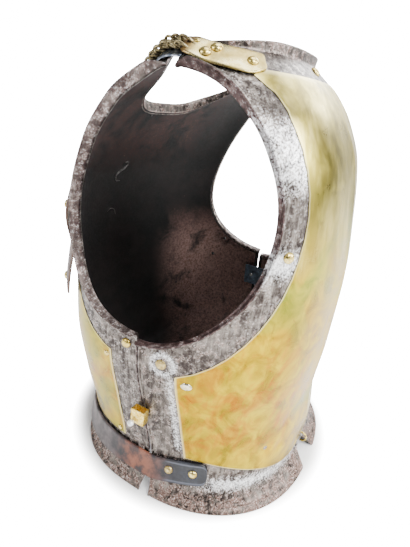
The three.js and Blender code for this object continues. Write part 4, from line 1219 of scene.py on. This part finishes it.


# A cast plate lofted between its two edge lines, its ends drawn in round, its face rounded; its holes are
# dark discs of painted shade.
def makeEndPlate():
    s = endPlateShape
    at, lower, upper = np.array(s["edges"]).T
    low, high = smoothTable(at, lower), smoothTable(at, upper)
    first, last = at[[0, -1]]
    away = first + (last - first) * (0.5 - 0.5 * np.cos(math.pi * np.linspace(0, 1, 90)))
    across, thick = bandSection(23, s["thickness"], 0.22)
    narrow = (roundedEnd(away - first, s["roundEnd"], 2.2, 0.05, 1 / 2.2)
              * roundedEnd(last - away, s["roundEnd"], 2.2, 0.1, 1 / 2.2))
    half = (high(away) - low(away)) / 2 * narrow
    z = ((low(away) + high(away)) / 2)[:, None] + half[:, None] * across[None]
    away = away[:, None]
    point, normal = placeAway(z, away + 0 * z)
    endRound = 0.5 + 0.5 * np.sqrt(np.clip(np.minimum(away - first, last - away) / 2.5, 0, 1))
    # painted shade: a dark disc at each hole, which is not cut; the long edges are darker too
    holes = np.max([1 - smoothStep(np.hypot(away - x, z - y), s["holeRadius"] - 0.5, s["holeRadius"] + 0.3)
                    for x, y in s["holes"]], axis=0)
    dark = np.maximum(0.5 * smoothStep(np.abs(across), 0.93, 1.0), 1.2 * holes)
    lift = endPlateHeight(away)
    return raisedWall(point, normal, lift, lift + thick * endRound,
                      masks(z.shape, 1 - smoothStep(away, 9, 17), alpha=dark))


# One link's wire line: an oval racetrack of length by width, its plane twisted end to end.
def linkPath(s):
    a = circle(s["steps"])
    radius = (s["width"] - s["wire"]) / 2
    pull = (s["length"] - s["width"]) / 2
    x = radius * np.cos(a) + pull * np.tanh(3 * np.cos(a))
    y = radius * np.sin(a)
    twist = math.radians(s["twist"]) * x / (radius + pull)
    return np.stack([x, y * np.cos(twist), y * np.sin(twist)], -1)


# A round wire along a closed line: circles across it, from the line's own direction.
def tubeRound(path, radius, around):
    ahead = unit(np.roll(path, -1, 0) - np.roll(path, 1, 0))
    inward = unit(-path)
    side = unit(np.cross(ahead, inward))
    top = np.cross(side, ahead)
    a = circle(around)
    return path[:, None] + radius * (np.cos(a)[None, :, None] * side[:, None]
                                     + np.sin(a)[None, :, None] * top[:, None])


# Links of one row of chain: the same twisted link set at each place along the line over the shoulder,
# leaning to one side and turned a little, with painted shade on the underside of the wire.
def makeChain(shift, links):
    s = chainShape
    line = overShoulder(shift, s["height"])
    wire = tubeRound(linkPath(s), s["wire"] / 2, s["around"])
    lean, yaw = math.radians(s["lean"]), math.radians(s["yaw"])
    # painted shade: the wire is darker where it faces down
    shadeBelow = -(wire[..., 1] * math.sin(lean) + wire[..., 2] * math.cos(lean))
    wear = masks(shadeBelow.shape, alpha=smoothStep(shadeBelow, -0.5, 3.0))
    body = Body()
    for i in links:
        length = s["first"] + i * s["pitch"]
        point, normal = line(length)
        lift = s["height"] + overFacing(length)
        before, after = line(length - 2), line(length + 2)
        ahead = unit(after[0] + after[1] * lift - before[0] - before[1] * lift)
        across = unit(np.cross(normal, ahead))
        flat = across * math.cos(lean) + np.cross(ahead, across) * math.sin(lean)
        high = np.cross(ahead, flat)
        turned = (ahead * math.cos(yaw) + flat * math.sin(yaw), flat * math.cos(yaw) - ahead * math.sin(yaw))
        body.addTube(point + normal * lift + wire @ np.stack([*turned, high]), 0, wear, True)
    return body


placePair(makeEndPlate(), "shoulder_end_plate", "palePlate", 60)
half = chainShape["links"] // 2 + 1
for shift, row in zip(chainShape["rows"], ("inner", "outer")):
    for number, links in enumerate((range(half), range(half, chainShape["links"])), 1):
        placePair(makeChain(shift, links), f"chain_{row}_{number}", "wire", 60)
print("end plates and chains made")


stapleShape = {"z": 101, "behind": 3, "width": 16, "out": 9, "height": 17, "wall": 1.3, "clear": 2.4,
               "corner": 0.5, "pinBehind": 8, "pinZ": 94, "stem": 1.5, "ball": 3.5, "stemLength": 5}
innerShape = {"z": 156, "halfHeight": 15, "halfLength": 20, "thickness": 1.6, "clear": 1.2,
              "rivetAway": -9, "rivetRadius": 2.6}


# Corner points of a rectangle with each corner rounded by a short arc.
def roundedBox(halfX, halfY, corner):
    a = np.linspace(0, math.pi / 2, 5)
    centres = ((1, 1, 0), (-1, 1, 1), (-1, -1, 2), (1, -1, 3))
    return np.concatenate([np.stack([sx * (halfX - corner) + corner * np.cos(a + q * math.pi / 2),
                                     sy * (halfY - corner) + corner * np.sin(a + q * math.pi / 2)], -1)
                           for sx, sy, q in centres])


# A square box open at top and bottom: its section's outer and inner outlines, with the edges eased,
# carried up its height.
def makeStaple():
    s = stapleShape
    x = -(float(halfWidth(s["z"])) + s["clear"] + s["out"] / 2)
    y = float(seam(s["z"])) + s["behind"]
    outer = roundedBox(s["out"] / 2, s["width"] / 2, s["corner"])
    inner = roundedBox(s["out"] / 2 - s["wall"], s["width"] / 2 - s["wall"], 0.3)
    half, ease = s["height"] / 2, 0.35
    upper = [(half - ease, outer), (half - 0.1, outer * 0.985), (half, outer * 0.95),
             (half, inner * 1.05), (half - ease, inner)]
    rings = [np.column_stack([loop + [x, y], np.full(len(loop), s["z"] + z)])
             for z, loop in upper + [(-z, loop) for z, loop in upper[::-1]]]
    return Body().addTube(np.stack(rings), closed=True)


# A stem and a ball, turned about a line along X.
def makeSidePin():
    s = stapleShape
    neckAngle = math.asin(s["stem"] / s["ball"])
    centre = s["stemLength"] + s["ball"] * math.cos(neckAngle)
    turn = np.linspace(neckAngle, math.pi - 0.02, 22)
    r = np.concatenate([[s["stem"] * 0.9, s["stem"]], s["ball"] * np.sin(turn)])[:, None]
    h = np.concatenate([[0, 0.2], centre - s["ball"] * np.cos(turn)])[:, None]
    face = float(halfWidth(s["z"])) + s["clear"] + s["out"]
    a = circle(28)
    x = s["stemLength"] - 0.6 - face - h + 0 * a
    y = float(seam(s["z"])) + s["pinBehind"] + r * np.cos(a)
    return Body().addTube(np.stack([x, y, s["pinZ"] + r * np.sin(a)], -1))


# The dark bar inside, behind the seam: it bridges both plates a little off their inner faces.
def makeInnerBar():
    s = innerShape
    up, rounded = bandSection(15, 1, 0.06)
    z = s["z"] + up[None] * s["halfHeight"] * np.ones((41, 1))
    point, normal = placeAway(z, np.linspace(-1, 1, 41)[:, None] * s["halfLength"] + 0.01 + 0 * z)
    near = -(wall[frontSide] + s["clear"])
    low = near - s["thickness"] * (0.7 + 0.3 * rounded)
    return raisedWall(point, smoothNormals(point, normal, 8), low, near)


placePair(makeStaple(), "side_staple", "yellow", 35)
placePair(makeSidePin(), "side_pin", "tinned")
placePair(makeInnerBar(), "inner_plate", "blued")
barPoint, barNormal = placeAway(innerShape["z"], innerShape["rivetAway"])
barFace = wall[frontSide] + innerShape["thickness"] + innerShape["clear"]
barRivet = makeDome(barPoint, -barNormal, innerShape["rivetRadius"], barFace)
placePair(barRivet, "rivet_inner_plate", "brightSteel", name="inner plate rivet")

ringShape = {"x": 9, "z": 23.5, "radius": 6.2, "wire": 1.2, "swing": 0.5}


# A wire ring in the plane across the plate, hung from its hole and swung outwards.
def makeWaistRing():
    s = ringShape
    hang = bodyPoint(frontSide, math.pi / 2, s["z"])
    a = circle(56)[:, None]
    b = circle(16)[None]
    r = s["radius"] + s["wire"] * np.cos(b)
    y, z = r * np.sin(a), r * np.cos(a) - s["radius"]
    y, z = (y * math.cos(s["swing"]) + z * math.sin(s["swing"]),
            z * math.cos(s["swing"]) - y * math.sin(s["swing"]))
    x = s["x"] + s["wire"] * np.sin(b) + 0 * a
    return Body().addTube(np.stack([x, y + hang[1] + wall[frontSide] / 2, z + s["z"]], -1), closed=True)


place(makeWaistRing(), "waist ring", "waist_ring", ["fitting"])
print("side fastenings and ring made")


studio = {"floorHalf": 2.2, "curve": 1.2, "wallHeight": 3.0, "glow": 30.0, "shine": 1.3,
          "footprint": (0.172, 0.168), "air": 0.25, "dark": 0.08}


# A pale sweep: flat underfoot, then a quarter circle up into a wall behind. Its paper is lit from
# behind everywhere but under the part and close round it, where it is shaded.
def makeFloor(s):
    a = np.linspace(0, math.pi / 2, 24)
    y = np.concatenate([[-s["floorHalf"]], s["floorHalf"] + s["curve"] * np.sin(a),
                        [s["floorHalf"] + s["curve"]]])[:, None]
    z = np.concatenate([[0], s["curve"] * (1 - np.cos(a)), [s["wallHeight"]]])[:, None]
    x = np.linspace(-4, 4, 3)
    turn = math.radians(cameraSettings["turn"] - 90)
    grid = np.stack([x * math.cos(turn) - y * math.sin(turn), x * math.sin(turn) + y * math.cos(turn),
                     z + 0 * x], -1)
    data = bpy.data.meshes.new("floor")
    data.from_pydata(grid.reshape(-1, 3).tolist(), [], gridFaces(*grid.shape[:2]).tolist())
    data.shade_smooth()
    material, add, where, _ = startMaterial("white paper sweep")
    rays = add("LightPath").node.outputs
    split = add("SeparateXYZ", {}, [where]).node.outputs
    power = {"operation": "POWER"}
    shares = [add("Math", times, [split[k], 1 / s["footprint"][k]]) for k in (0, 1)]
    spread = add("Math", plus, [add("Math", power, [share, 2.0]) for share in shares])
    clear = add("Math", power, [add("MapRange", smooth, [spread, 0.80, 1.28]), 2.0])
    glow = [add("Math", times, [rays["Is Camera Ray"], s["glow"]]),
            add("Math", times, [rays["Is Glossy Ray"], s["shine"]])]
    add("OutputMaterial", {}, [add("BsdfPrincipled", {}, {
        "Base Color": "#f6f6f6", "Roughness": 0.9, "Emission Color": "#ffffff",
        "Emission Strength": add("Math", times, [add("Math", plus, glow), clear])})])
    data.materials.append(material)
    addObject("floor", data)


makeFloor(studio)

lamps = [   # name, place, aim, size, watts
    ("key softbox", (-0.95, -1.75, 2.1), (0, 0, 0.25), 1.1, 100),
    ("right softbox", (0.45, -1.95, 1.1), (0, 0, 0.35), 1.15, 75),
    ("left softbox", (-1.9, 1.2, 1.6), (0, 0, 0.2), 1.0, 38),
    ("top softbox", (0.4, -0.2, 2.6), (0, 0, 0.2), 1.4, 42),
    ("rear softbox", (1.8, -0.45, 1.65), (0, 0, 0.4), 1.2, 45),
]
for name, spot, aim, size, watts in lamps:
    data = bpy.data.lights.new(name, "AREA")
    data.shape = "SQUARE"
    data.size = size
    data.energy = watts
    turned = (Vector(aim) - Vector(spot)).to_track_quat("-Z", "Y").to_matrix().to_4x4()
    addObject(name, data).matrix_world = Matrix.Translation(spot) @ turned

# a bright ceiling over a dim room, darkest where the room is open behind the camera
world = bpy.data.worlds.new("studio air")
world.use_nodes = True
world.node_tree.nodes.clear()
add = partial(addNode, world.node_tree)
heading = add("SeparateXYZ", {}, [add("TexCoord", {}, (), "Generated")]).node.outputs
level = add("Math", {"operation": "MAXIMUM"}, [add("MapRange", smooth, [heading["Z"], 0.15, 0.75]),
                                               add("MapRange", smooth, [heading["X"], -0.3, 0.6])])
level = add("Math", plus, [add("Math", times, [level, studio["air"]]), studio["dark"]])
seen = add("Math", times, [add("LightPath", {}, (), "Is Camera Ray"), studio["glow"]])      # white all round
strength = add("Math", plus, [level, seen])
add("OutputWorld", {}, [add("Background", {}, {"Color": "#ffffff", "Strength": strength})])
bpy.context.scene.world = world
print("light and floor set")
